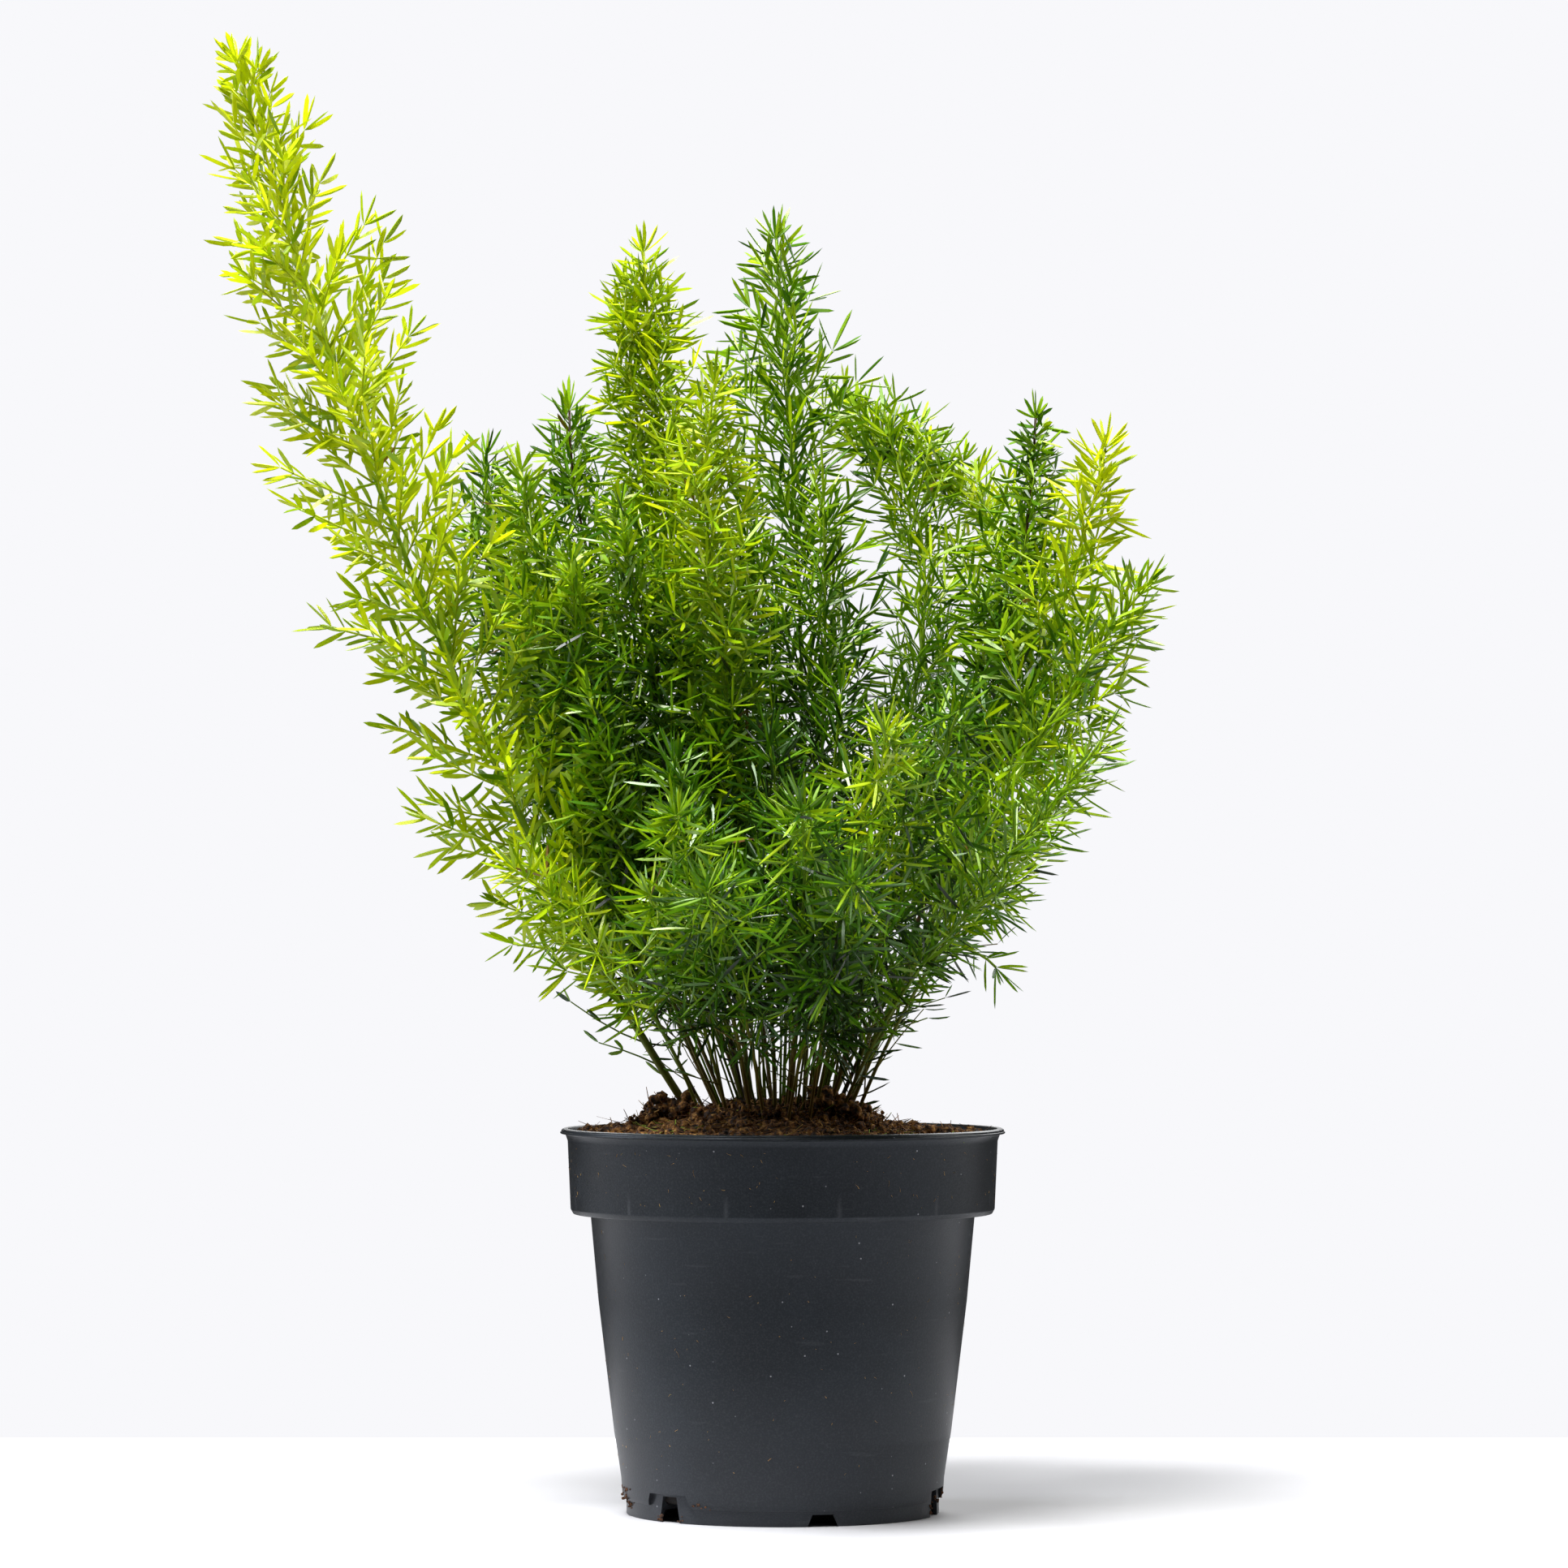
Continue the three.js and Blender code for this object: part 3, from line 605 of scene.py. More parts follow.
def add_block(bm, degrees, height, foot, head, inner, outer):
    """A block with a trapezium for its face, standing at an angle round the pot."""
    made = bmesh.ops.create_cube(bm, size=2)["verts"]
    for vert in made:
        half = foot / 2 if vert.co.z < 0 else head / 2
        vert.co.x *= half
        vert.co.y = -outer if vert.co.y < 0 else -inner
        vert.co.z = -1 if vert.co.z < 0 else height
    bmesh.ops.scale(bm, vec=(MM, MM, MM), verts=made)
    turn = Matrix.Rotation(math.radians(degrees), 3, "Z")
    bmesh.ops.rotate(bm, cent=(0, 0, 0), matrix=turn, verts=made)


def combined(target, tool, operation):
    """The target after a boolean with the tool, which is then removed."""
    boolean = target.modifiers.new("cut", "BOOLEAN")
    boolean.object = tool
    boolean.operation = operation
    boolean.solver = "EXACT"
    graph = bpy.context.evaluated_depsgraph_get()
    mesh = bpy.data.meshes.new_from_object(target.evaluated_get(graph))
    target.modifiers.clear()
    target.data = mesh
    bpy.data.objects.remove(tool)
    return target


def pot_profile():
    """The pot's section, from the middle of its underside round the outside and back inside."""
    return [
        (0, 0),
        (BASE_DISC_RADIUS, 0),
        (BASE_DISC_RADIUS + 3.5, GUTTER_Z),
        (INNER_FOOT_RADIUS - 0.4, GUTTER_Z),
        (INNER_FOOT_RADIUS, 0),
        (FOOT_RING_RADIUS, 0),
        (FOOT_RING_RADIUS, FOOT_RING_Z),
        (FOOT_RING_RADIUS + 0.9, FOOT_RING_Z),
        (BODY_FOOT_RADIUS, FOOT_RING_Z + 1.9),
        WALL_FOOT,
        (MOULD_LINE[0] - 0.12, MOULD_LINE[1] - 0.25),
        MOULD_LINE,
        WALL_LOW,
        WALL_MIDDLE,
        (BODY_TOP_RADIUS, BAND_FOOT_Z),
        (BAND_FOOT_RADIUS - 1, BAND_FOOT_Z),
        BAND_FOOT,
        BAND_TOP,
        (BAND_TOP_RADIUS + 0.9, POT_HEIGHT - 2.2),
        (LIP_RADIUS, POT_HEIGHT - 1.9),
        (LIP_RADIUS, POT_HEIGHT - 1.3),
        (LIP_RADIUS - 0.5, POT_HEIGHT - 1.05),
        (LIP_RADIUS - 0.45, POT_HEIGHT - 0.5),
        (LIP_RADIUS - 1.3, POT_HEIGHT),
        (LIP_RADIUS - 3, POT_HEIGHT),
        (BAND_TOP_RADIUS - WALL, POT_HEIGHT - 2.5),
        (BAND_FOOT_RADIUS - WALL, BAND_FOOT_Z + 2.4),
        (BODY_TOP_RADIUS - WALL, BAND_FOOT_Z + 1.3),
        (WALL_LOW[0] - WALL, WALL_LOW[1]),
        (WALL_FOOT[0] - WALL, WALL_FOOT[1] + 1),
        (INNER_FOOT_RADIUS, 11.5),
        (INNER_FOOT_RADIUS, 8),
        (INNER_FOOT_RADIUS - 1.7, GUTTER_Z + FLOOR),
        (BASE_DISC_RADIUS + 3, GUTTER_Z + FLOOR),
        (BASE_DISC_RADIUS - 0.6, FLOOR),
        (0, FLOOR),
    ]


def make_pot(settings):
    """The pot: its spun section with rounded edges, then scallops and openings cut in its foot."""
    bm = spun(pot_profile(), settings.segments)
    corners = [e for e in bm.edges if e.is_manifold and e.calc_face_angle(0) > ROUNDED_EDGE]
    bmesh.ops.bevel(
        bm, geom=corners, offset=settings.rounding, segments=2, profile=0.5, affect="EDGES",
        clamp_overlap=True, material=-1,
    )
    pot = object_from("pot_shell", bm)
    # The scallops cut the wall back to the radius of the foot ring, and leave the ring whole
    low, high = SCALLOP_FOOT, ABOVE_SCALLOPS
    inner, outer = FOOT_RING_RADIUS, LIP_RADIUS
    ring = [(inner, low), (outer, low), (outer, high), (inner, high)]
    outside = object_from("outside", spun([*ring, ring[0]], settings.segments))
    relief, openings = bmesh.new(), bmesh.new()
    for turn in range(0, 360, NOTCH_TURN):
        add_block(relief, TALL_NOTCH_FIRST + turn, **SCALLOP)
        add_block(openings, TALL_NOTCH_FIRST + turn, **TALL_NOTCH)
        add_block(openings, SHORT_NOTCH_FIRST + turn, **SHORT_NOTCH)
        add_block(openings, SHORT_NOTCH_FIRST + turn, **DRAIN_SLOT)
    scallops = combined(object_from("relief", relief), outside, "INTERSECT")
    combined(pot, scallops, "DIFFERENCE")
    combined(pot, object_from("openings", openings), "DIFFERENCE")
    pot.data.shade_smooth()
    pot.data.set_sharp_from_angle(angle=CRISP_EDGE)
    finish_piece(pot, polypropylene_moulded(), "pot")


# Potting mix


def crumbled(x, y):
    """Height of the rough surface of the mix, in millimetres."""
    # Lumps of about 9 and 3.6 mm and grains of 1.7 mm, which fade over the 6 mm next to the pot
    place = Vector((x, y, 0))
    edge = min(1, max(0, (SOIL_EDGE_RADIUS - math.hypot(x, y)) / 6))
    lumpy = 1.5 * noise.noise(place / 9) + 1.1 * abs(noise.noise(place / 3.6))
    grainy = 0.8 * noise.noise(place / 1.7)
    return mounded(x, y) + edge * (lumpy + grainy)


def make_mix(settings):
    """The body of the mix: a crumbled top, and sides that follow the inside of the pot."""
    bm = bmesh.new()
    bmesh.ops.create_grid(bm, x_segments=settings.grid, y_segments=settings.grid, size=1)
    for vert in bm.verts:
        x, y = vert.co.x, vert.co.y
        vert.co.x = SOIL_EDGE_RADIUS * x * math.sqrt(1 - y * y / 2)
        vert.co.y = SOIL_EDGE_RADIUS * y * math.sqrt(1 - x * x / 2)
        vert.co.z = crumbled(vert.co.x, vert.co.y)
    inner_foot = INNER_FOOT_RADIUS - SOIL_GAP
    walls = [
        (BAND_FOOT_RADIUS - WALL - SOIL_GAP, BAND_FOOT_Z + 2.8),
        (BODY_TOP_RADIUS - WALL - SOIL_GAP, BAND_FOOT_Z + 1.7),
        (WALL_LOW[0] - WALL - SOIL_GAP, WALL_LOW[1]),
        (inner_foot, 11.6),
        (inner_foot, 8.2),
        (inner_foot - 1.7, GUTTER_Z + FLOOR + SOIL_GAP),
        (BASE_DISC_RADIUS + 2.8, GUTTER_Z + FLOOR + SOIL_GAP),
        (BASE_DISC_RADIUS - 0.8, FLOOR + SOIL_GAP),
    ]
    rim = [edge for edge in bm.edges if edge.is_boundary]
    for radius, z in walls:
        made = bmesh.ops.extrude_edge_only(bm, edges=rim)["geom"]
        rim = [part for part in made if isinstance(part, bmesh.types.BMEdge)]
        for vert in {v for edge in rim for v in edge.verts}:
            out = Vector((vert.co.x, vert.co.y)).normalized() * radius
            vert.co = (out.x, out.y, z)
    bmesh.ops.edgeloop_fill(bm, edges=rim)
    bmesh.ops.scale(bm, vec=(MM, MM, MM), verts=bm.verts)
    bmesh.ops.recalc_face_normals(bm, faces=bm.faces[:])
    finish_piece(object_from("potting_mix", bm), shared("damp_peat", peat_damp), "soil")


def scattered(draws, count, most):
    """Places spread evenly over the mix, out to the greatest radius, in millimetres."""
    radius = most * np.sqrt(draws.random(count))
    angle = 2 * math.pi * draws.random(count)
    return radius * np.cos(angle), radius * np.sin(angle)


def lying(x, y, rise):
    """Roots on the mix's surface for scattered pieces, in metres."""
    heights = np.array([crumbled(a, b) for a, b in zip(x, y)])
    return np.stack([x, y, heights + rise], axis=1) * MM


def random_frames(draws, count, tilt):
    """Axes that point anywhere round the compass, tilted up or down at random, and sides."""
    turn = 2 * math.pi * draws.random(count)
    slope = tilt * (draws.random(count) * 2 - 1)
    axes = np.stack(
        [np.cos(turn) * np.cos(slope), np.sin(turn) * np.cos(slope), np.sin(slope)], axis=1
    )
    return axes, unit(np.cross(axes, UP))


def lumps(draws, shape, x, y, sizes, rise):
    """Crumbs of the mix, of the given radii in millimetres."""
    axes, sides = random_frames(draws, len(x), 1.2)
    squash = 0.6 + 0.5 * draws.random(len(x))
    widths = sizes * MM
    tones = draws.random(len(x))
    return copies(shape, tones, lying(x, y, rise), axes, sides, widths, widths * squash, widths)


def make_crumbs(settings):
    """Loose crumbs all over the mix, and clods, each a heap of lumps of its own."""
    draws = np.random.default_rng(settings.seed)
    x, y = scattered(draws, settings.crumbs, CRUMBS_REACH)
    sizes = 0.5 + 2.3 * draws.random(settings.crumbs) ** 4
    small = lumps(draws, crumb_shape(1), x, y, sizes, 0.1)
    # A clod's lumps are about a fifth as wide as it is, and crowd towards its middle
    x, y, radius = np.repeat(np.array(CLODS), LUMPS_IN_CLOD, axis=0).T
    spread = (draws.normal(size=(len(x), 3)) * 0.36 * radius[:, None]).T
    sizes = 0.2 * radius * (0.6 + 0.8 * draws.random(len(x)))
    rise = np.abs(spread[2]) + 0.22 * radius
    clods = lumps(draws, crumb_shape(2), x + spread[0], y + spread[1], sizes, rise)
    peat = shared("damp_peat", peat_damp)
    toned_piece("peat_crumbs", [small, clods], False, peat, "soil", replaces=False)


def make_fibres(settings):
    """Tan and dark fibres that lie on the mix and stick to its clods, and a little moss."""
    draws = np.random.default_rng(settings.seed + 1)
    count = settings.fibres
    x, y = scattered(draws, count, FIBRES_REACH)
    axes, sides = random_frames(draws, count, 0.3)
    lengths = (2.0 + 7.0 * draws.random(count) ** 2) * MM
    widths = (0.12 + 0.22 * draws.random(count)) * MM
    bends = draws.normal(size=(count, 3)) * 0.25
    roots = lying(x, y, 0.5)
    # The first fifth of them moves to the clods, and is shorter
    stuck = slice(count // 5)
    clod_x, clod_y, radius = np.array(CLODS)[draws.integers(0, len(CLODS), count // 5)].T
    away = (unit(draws.normal(size=(len(radius), 3))) * 0.7 * radius[:, None]).T
    roots[stuck] = lying(clod_x + away[0], clod_y + away[1], np.abs(away[2]) + 1)
    lengths[stuck] *= 0.7
    axes[stuck], sides[stuck] = random_frames(draws, len(radius), 1.1)
    tones = 0.7 * draws.random(count)
    moss = np.any([np.hypot(x - a, y - b) < across for a, b, across in MOSS], axis=0)
    tones[moss & (draws.random(count) < 0.6)] = MOSS_TONE
    strewn = copies(rod_shape(3, 2, 0.5), tones, roots, axes, sides, lengths, widths, widths, bends)
    scraps = shared("peat_fibre", plant_scraps)
    toned_piece("peat_fibres", [strewn], True, scraps, "soil", replaces=False)


def round_pot(angle, radius, z):
    """Places round the pot, at angles from its front, and the way out from the pot at each."""
    out = np.stack([np.sin(angle), -np.cos(angle), 0 * angle], axis=1)
    return (out * radius[:, None] + np.outer(z, UP)) * MM, out


def make_specks(settings):
    """Dust fibres that cling to the outside of the pot, and crumbs on the ledge at its foot."""
    draws = np.random.default_rng(settings.seed + 2)
    count = settings.specks
    angle = 2 * math.pi * draws.random(count)
    on_band = draws.random(count) < ON_BAND
    z = np.where(on_band, draws.uniform(*BAND_DUST, count), draws.uniform(*WALL_DUST, count))
    lines = [np.array(line).T for line in (BAND_LINE, WALL_LINE)]
    band, wall = (np.interp(z, heights, radii) for radii, heights in lines)
    roots, out = round_pot(angle, np.where(on_band, band, wall) + 0.05, z)
    tilt = draws.uniform(-math.pi, math.pi, count)[:, None]
    axes = np.cross(UP, out) * np.cos(tilt) + UP * np.sin(tilt)
    sides = np.cross(out, axes)
    lengths = (0.3 + 1.9 * draws.random(count) ** 3) * MM
    widths = draws.uniform(0.04, 0.09, count) * MM
    bends = sides * draws.normal(size=(count, 1)) * 0.5
    tones = draws.uniform(0.6, 0.73, count)
    fibres = copies(rod_shape(3, 2, 0.6), tones, roots, axes, sides, lengths, widths, widths, bends)
    # The crumbs that gather at the foot
    heap = np.array([row[:4] for row in GATHERED for _ in range(row[4])])
    angle = np.radians(draws.normal(heap[:, 0], heap[:, 1]))
    z = draws.uniform(heap[:, 2], heap[:, 3])
    radius = np.where(z < FOOT_RING_Z, FOOT_RING_RADIUS, BODY_FOOT_RADIUS) + 0.1
    roots, _ = round_pot(angle, radius, z)
    axes, sides = random_frames(draws, len(heap), 1.2)
    sizes = draws.uniform(0.2, 0.6, len(heap)) * MM
    tones = draws.uniform(0, 0.25, len(heap))
    crumbs = copies(crumb_shape(1), tones, roots, axes, sides, sizes, sizes, sizes)
    scraps = shared("peat_fibre", plant_scraps)
    toned_piece("wall_specks", [fibres, crumbs], False, scraps, "soil", replaces=False)


# Foliage


class StemLine:
    """The line that a stem follows, by the distance along it from the soil, in metres."""

    SAMPLES = 160

    def __init__(self, base, low, high, tip):
        base, low, high, tip = (np.array(point) * MM for point in (base, low, high, tip))
        first = (-5 * base + 18 * low - 9 * high + 2 * tip) / 6
        second = (2 * base - 9 * low + 18 * high - 5 * tip) / 6
        t = np.linspace(0, 1, self.SAMPLES)[:, None]
        s = 1 - t
        self.path = s**3 * base + 3 * s * s * t * first + 3 * s * t * t * second + t**3 * tip
        slope = s * s * (first - base) + 2 * s * t * (second - first) + t * t * (tip - second)
        self.slope = unit(slope)
        steps = np.linalg.norm(np.diff(self.path, axis=0), axis=1)
        self.travel = np.concatenate([[0], np.cumsum(steps)])
        self.length = self.travel[-1]
        self.sideways = unit(np.cross(UP, tip - base))

    def at(self, distances):
        """Centres, and the directions along, to the side and to the front, at distances."""
        distances = np.asarray(distances, float)
        centres = np.stack([np.interp(distances, self.travel, p) for p in self.path.T], -1)
        along = unit(np.stack([np.interp(distances, self.travel, p) for p in self.slope.T], -1))
        centres = centres + along * np.minimum(distances, 0)[..., None]
        lean = (along @ self.sideways)[..., None]
        side = unit(self.sideways - along * lean)
        return centres, along, side, np.cross(along, side)

    def below_tip(self, distances):
        """The same at distances from the tip, in millimetres."""
        return self.at(self.length - distances * MM)


def leaning(axes, across, other, turns, leans):
    """Directions that lean from axes by one angle, turned about them by another, and the way out
    from the axes in which each leans."""
    out = across * np.cos(turns)[:, None] + other * np.sin(turns)[:, None]
    return unit(axes * np.cos(leans)[:, None] + out * np.sin(leans)[:, None]), out


def core_of(line, girth, buried, settings):
    """Points and triangles of the stem itself, from what it grows out of to its tip, and how far
    up it each point is, from 0 to 1."""
    places, corners = rod_shape(7, 26, 1.0)
    x, y, z = places.T
    depth = buried * MM
    distances = -depth + (line.length - TIP_STAR * MM + depth) * z
    centres, _, side, front = line.at(distances)
    grown = 1 - np.clip(distances / line.length, 0, 1)
    radius = (TIP_RADIUS + (settings.girth * girth / 2 - TIP_RADIUS) * grown) * MM
    points = centres + side * (x * radius)[:, None] + front * (y * radius)[:, None]
    return points, corners, 1 - grown


def above_skirt(ends):
    """How far above the skirt places are, in millimetres."""
    x, y, z = (ends / MM).T
    away = np.hypot(x - SKIRT["x"], SKIRT["deep"] * (y - SKIRT["y"]))
    round_feet = SKIRT["z"] + SKIRT["slope"] * np.maximum(away - SKIRT["r"], 0)
    return z - np.maximum(round_feet, SKIRT["z"] + SKIRT["steep"] * (x - SKIRT["right"]))


def branchlets_of(number, line, reach, bare, habit, draws):
    """Roots, axes and lengths of a stem's branchlets, and how far each is from the tip. They
    stand a golden turn apart, with one turn more at each place where the CAD has a spray."""
    length = line.length / MM
    lowest = length - min(bare, MOST_BARE * length)
    from_tip = np.arange(habit.first, lowest, habit.step)
    order = (from_tip - SPRAY_START) / habit.step
    spray = (from_tip - SPRAY_START) // SPRAY_STEP
    turns = (number - 1) * 1.3 + GOLDEN_TURN * (order + spray)
    turns = turns + draws.normal(size=len(turns)) * 0.25
    full = np.minimum(habit.short + habit.grow * (from_tip - habit.first), reach) - habit.trim
    full = full * (1 - 0.45 * np.clip((from_tip - habit.slim) / 40, 0, 1))
    # The plume narrows again where it starts
    opened = 0.5 + 0.5 * np.clip((lowest - from_tip) / 30, 0, 1)
    lengths = full * opened * draws.uniform(0.8, 1.12, len(full))
    lengths = np.maximum(lengths, SHORTEST_BRANCHLET) * MM
    # The further down, the more a branchlet leans
    leans = np.clip(36 + 0.14 * from_tip, 38, habit.flat) + draws.normal(size=len(full)) * 6
    roots, along, side, front = line.below_tip(from_tip)
    axes, _ = leaning(along, side, front, turns, np.radians(leans))
    kept = above_skirt(roots + axes * lengths[:, None]) > LEAVES_ABOVE_SKIRT
    return roots[kept], axes[kept], lengths[kept], from_tip[kept]


def foot_twigs(line, bare, draws):
    """Roots, axes and lengths of the wiry twigs at a stem's foot, and how far each is from the
    tip. The last are shoots that rise from the mix, nearer the middle of the plant."""
    length = line.length / MM
    from_tip = np.arange(length - min(bare, MOST_BARE * length) + 2, length - 6, TWIG_STEP)
    from_tip = np.concatenate([from_tip, [length] * WIRY])
    count = len(from_tip)
    roots, along, side, front = line.below_tip(from_tip)
    turns = draws.uniform(0, 2 * math.pi, count)
    leans = np.radians(draws.uniform(*TWIG_LEANS, count))
    axes, out = leaning(along, side, front, turns, leans)
    lengths = draws.uniform(*TWIG_LENGTHS, count) * MM
    beside = draws.uniform(*WIRY_BESIDE, WIRY) * MM
    roots[-WIRY:] += out[-WIRY:] * beside[:, None] - along[-WIRY:] * 3 * MM
    roots[-WIRY:, :2] *= 0.6
    upright = 0.6 * along[-WIRY:] + 0.4 * UP
    axes[-WIRY:] = unit(upright + out[-WIRY:] * draws.uniform(0, 0.13, (WIRY, 1)))
    lengths[-WIRY:] = draws.uniform(*WIRY_LENGTHS, WIRY) * MM
    kept = above_skirt(roots + axes * lengths[:, None]) > -TWIGS_BELOW_SKIRT
    return roots[kept], axes[kept], lengths[kept], from_tip[kept]


def whorl(centre, towards, count, lean, spread, below, share, draws):
    """Cladodes that stand round one node: place, direction, turn, lean, how far below the tip of
    the stem, and how far out on the branchlet, which is negative on a twig."""
    start = draws.uniform(0, 2 * math.pi)
    rows = []
    for k in range(count):
        turn = start + 2 * math.pi * k / count + draws.normal() * 0.3
        angle = math.radians(draws.normal(lean, spread))
        rows.append((*centre, *towards, turn, angle, below, share))
    return rows


def node_on(root, axis, bend, end, share):
    """The place of a node on a bent branchlet, and the way that the branchlet runs there."""
    return root + axis * end + bend * end * share, unit(axis + 2 * bend * share)


def cladodes_on(branchlets, bends, habit, draws):
    """Where cladodes stand on branchlets: whorls along each one, and a star at its end."""
    rows = []
    for root, axis, length, below, bend in zip(*branchlets, bends):
        for k, end in enumerate(np.arange(length, 2 * MM, -habit.gap * MM)):
            node = node_on(root, axis, bend, end, end / length)
            if k == 0:
                count, lean = habit.star + draws.integers(-1, 2), habit.lean - 8
            else:
                count, lean = int(habit.whorl + draws.uniform(-0.5, 1.5)), habit.lean
            rows += whorl(*node, count, lean, 11, below, end / length, draws)
    return rows


def cladodes_on_twigs(twigs, bends, draws):
    """Where the few short cladodes stand on the outer part of the twigs at a stem's foot."""
    rows = []
    for root, axis, length, below, bend in zip(*twigs, bends):
        for end in np.arange(length, max(6 * MM, 0.4 * length), -12 * MM):
            node = node_on(root, axis, bend, end, end / length)
            rows += whorl(*node, draws.integers(1, 3), 50, 16, below, -1.0, draws)
    return rows


def cladodes_on_stem(line, habit, draws):
    """Where cladodes stand on the stem itself: the star at its tip, and whorls below it."""
    tip = line.below_tip(TIP_STAR)[:2]
    rows = []
    for lean in TIP_LEANS:
        rows += whorl(*tip, 3, lean, 7, 0.0, 1.0, draws)
    for below in np.arange(TIP_STAR + habit.gap, habit.on_stem, habit.gap):
        node = line.below_tip(below)[:2]
        count = int(habit.whorl + draws.uniform(0, 1.4))
        rows += whorl(*node, count, habit.lean, 9, below, 1.0, draws)
    return rows


def openness_to_light(places):
    """How open to the light places are, from 0 in the middle of the plant to 1 outside it. It
    sets the painted shade on the cladodes.
    """
    x, y, z = (places / MM).T
    # The foliage fills a cone that widens upwards, and is open at its top
    across = np.hypot(x, y) / (38 + 0.72 * np.maximum(z - 150, 0))
    return np.clip(np.maximum(across, (z - 250) / 110), 0, 1)


def cladodes_of(line, rows, young, habit, settings, draws):
    """The cladodes' points, triangles and tones."""
    rows = np.array(rows)
    centres, towards = rows[:, :3], rows[:, 3:6]
    turns, leans, below, share = rows[:, 6:].T
    count = len(rows)
    helper = np.where(np.abs(towards[:, 2:3]) > 0.9, (1.0, 0, 0), (0, 0, 1.0))
    across = unit(np.cross(towards, helper))
    axes, _ = leaning(towards, across, np.cross(towards, across), turns, leans)
    # Each blade is twisted about its own axis, so that some show their face and some their edge
    level = unit(np.cross(axes, towards))
    twist = draws.uniform(-math.pi, math.pi, count)[:, None]
    sides = level * np.cos(twist) + np.cross(axes, level) * np.sin(twist)
    on_twig = share < 0
    # The cladodes next to the tip aren't full grown, and those on twigs stay small
    grown = np.where(on_twig, 0.62, 0.9 + 0.1 * np.clip(below / 60, 0, 1))
    lengths = settings.length * habit.length * MM * grown * draws.uniform(0.76, 1.14, count)
    widths = settings.width * habit.width / 2 * (1 + 0.12 * young**3) * MM
    widths = widths * draws.uniform(0.8, 1.15, count) * np.where(on_twig, 0.8, 1)
    curl = draws.normal(size=count) * 0.09 + 0.1
    bends = towards * curl[:, None] + np.outer(draws.normal(size=count) * 0.06, UP)
    # A blade is paler the younger its stem and the higher on it. Painted shade darkens the blades
    # in the middle of the plant, the less open to the light their place, and those that hang below
    # 250 mm, the lower the darker.
    height = 1 - np.clip(below * MM / line.length, 0, 1)
    tones = 0.14 + 0.74 * young + 0.2 * (height - 0.5) * (0.4 + young)
    # Painted shade: the less open to the light a blade's place, the darker it is
    tones = tones + 0.34 * (openness_to_light(centres) - 0.85)
    tones = tones - habit.fade * np.clip(below - 30, 0, 90)
    # Painted shade: below 250 mm a blade is darker the lower it hangs, most at 175 mm and below
    tones = tones - 0.16 * (1 - np.clip((centres[:, 2] / MM - 175) / 75, 0, 1))
    # Painted shade: the cladodes on the wiry twigs at the foot get a low tone, darker the older
    # their stem
    tones = np.where(on_twig, 0.13 + 0.3 * young, tones)
    tones = np.clip(tones + draws.normal(size=count) * 0.13, 0.1, 1)
    tones[draws.random(count) < settings.dry_share] = DRY_TONE
    depths = BLADE_DEPTH * widths
    return copies(blade_shape(), tones, centres, axes, sides, lengths, widths, depths, bends)


def shoots_of(number):
    """A stem's line, thickness and longest branchlet, and the same of its further shoots."""
    base, low, high, tip, girth, reach, _ = STEMS[number - 1]
    lines = [(StemLine((*base, mounded(*base)), low, high, tip), girth, reach)]
    for owner, *points, thickness, longest in SHOOTS:
        if owner == number:
            lines.append((StemLine(*points), thickness, longest))
    return lines


def make_stem(number, settings):
    """A leafy stem as two pieces: its wood, with branchlets and twigs, and its cladodes."""
    young = STEMS[number - 1][-1]
    habit = HABITS[HABIT_OF.get(number, "foxtail")]
    draws = np.random.default_rng(settings.seed + number)
    wood, leaves = [], []
    for k, (line, girth, reach) in enumerate(shoots_of(number)):
        bare, buried = (habit.bare, STEM_DEPTH) if k == 0 else (0, 0)
        branches = branchlets_of(number + k, line, reach, bare, habit, draws)
        _, _, lengths, from_tip = branches
        rise = draws.normal(size=len(lengths)) * 0.07 + 0.08
        bends = np.outer(rise, UP) + draws.normal(size=(len(lengths), 3)) * 0.05
        rows = cladodes_on(branches, bends, habit, draws) + cladodes_on_stem(line, habit, draws)
        tones = 0.35 + 0.5 * young + 0.15 * (1 - from_tip * MM / line.length)
        girths = (0.28 + 0.006 * lengths / MM) * MM
        if k == 0:
            twigs = foot_twigs(line, bare, draws)
            count = len(twigs[0])
            sway = draws.normal(size=(count, 3)) * 0.12
            rows += cladodes_on_twigs(twigs, sway, draws)
            dull = draws.uniform(0.15, 0.35, count) + 0.2 * young
            thin = draws.uniform(0.18, 0.32, count) * MM + 0.0035 * twigs[2]
            leafy = (*branches, bends, tones, girths)
            wiry = (*twigs, sway, dull, thin)
            *branches, bends, tones, girths = [np.concatenate(pair) for pair in zip(leafy, wiry)]
        roots, axes, lengths, _ = branches
        sides = unit(np.cross(axes, UP))
        rod = rod_shape(4, 3, 0.7)
        wood.append(copies(rod, tones, roots, axes, sides, lengths, girths, girths, bends))
        core, corners, climb = core_of(line, girth, buried, settings)
        if k > 0:
            climb = np.ones_like(climb)
        bark = 0.13 + climb * (0.34 + 0.45 * young) + 0.16 * young
        if number in WOODY:
            bark = np.full_like(bark, WOODY_TONE)
        wood.append((core, corners, bark))
        leaves.append(cladodes_of(line, rows, young, habit, settings, draws))
    label = f"{number:02d}"
    node = f"leafy_stem_{label}"
    toned_piece(f"stem_{label}", wood, True, shared("green_stem", stem_green), node)
    toned_piece(f"cladodes_{label}", leaves, False, shared("waxy_cladode", cladode_green), node)


# Stage

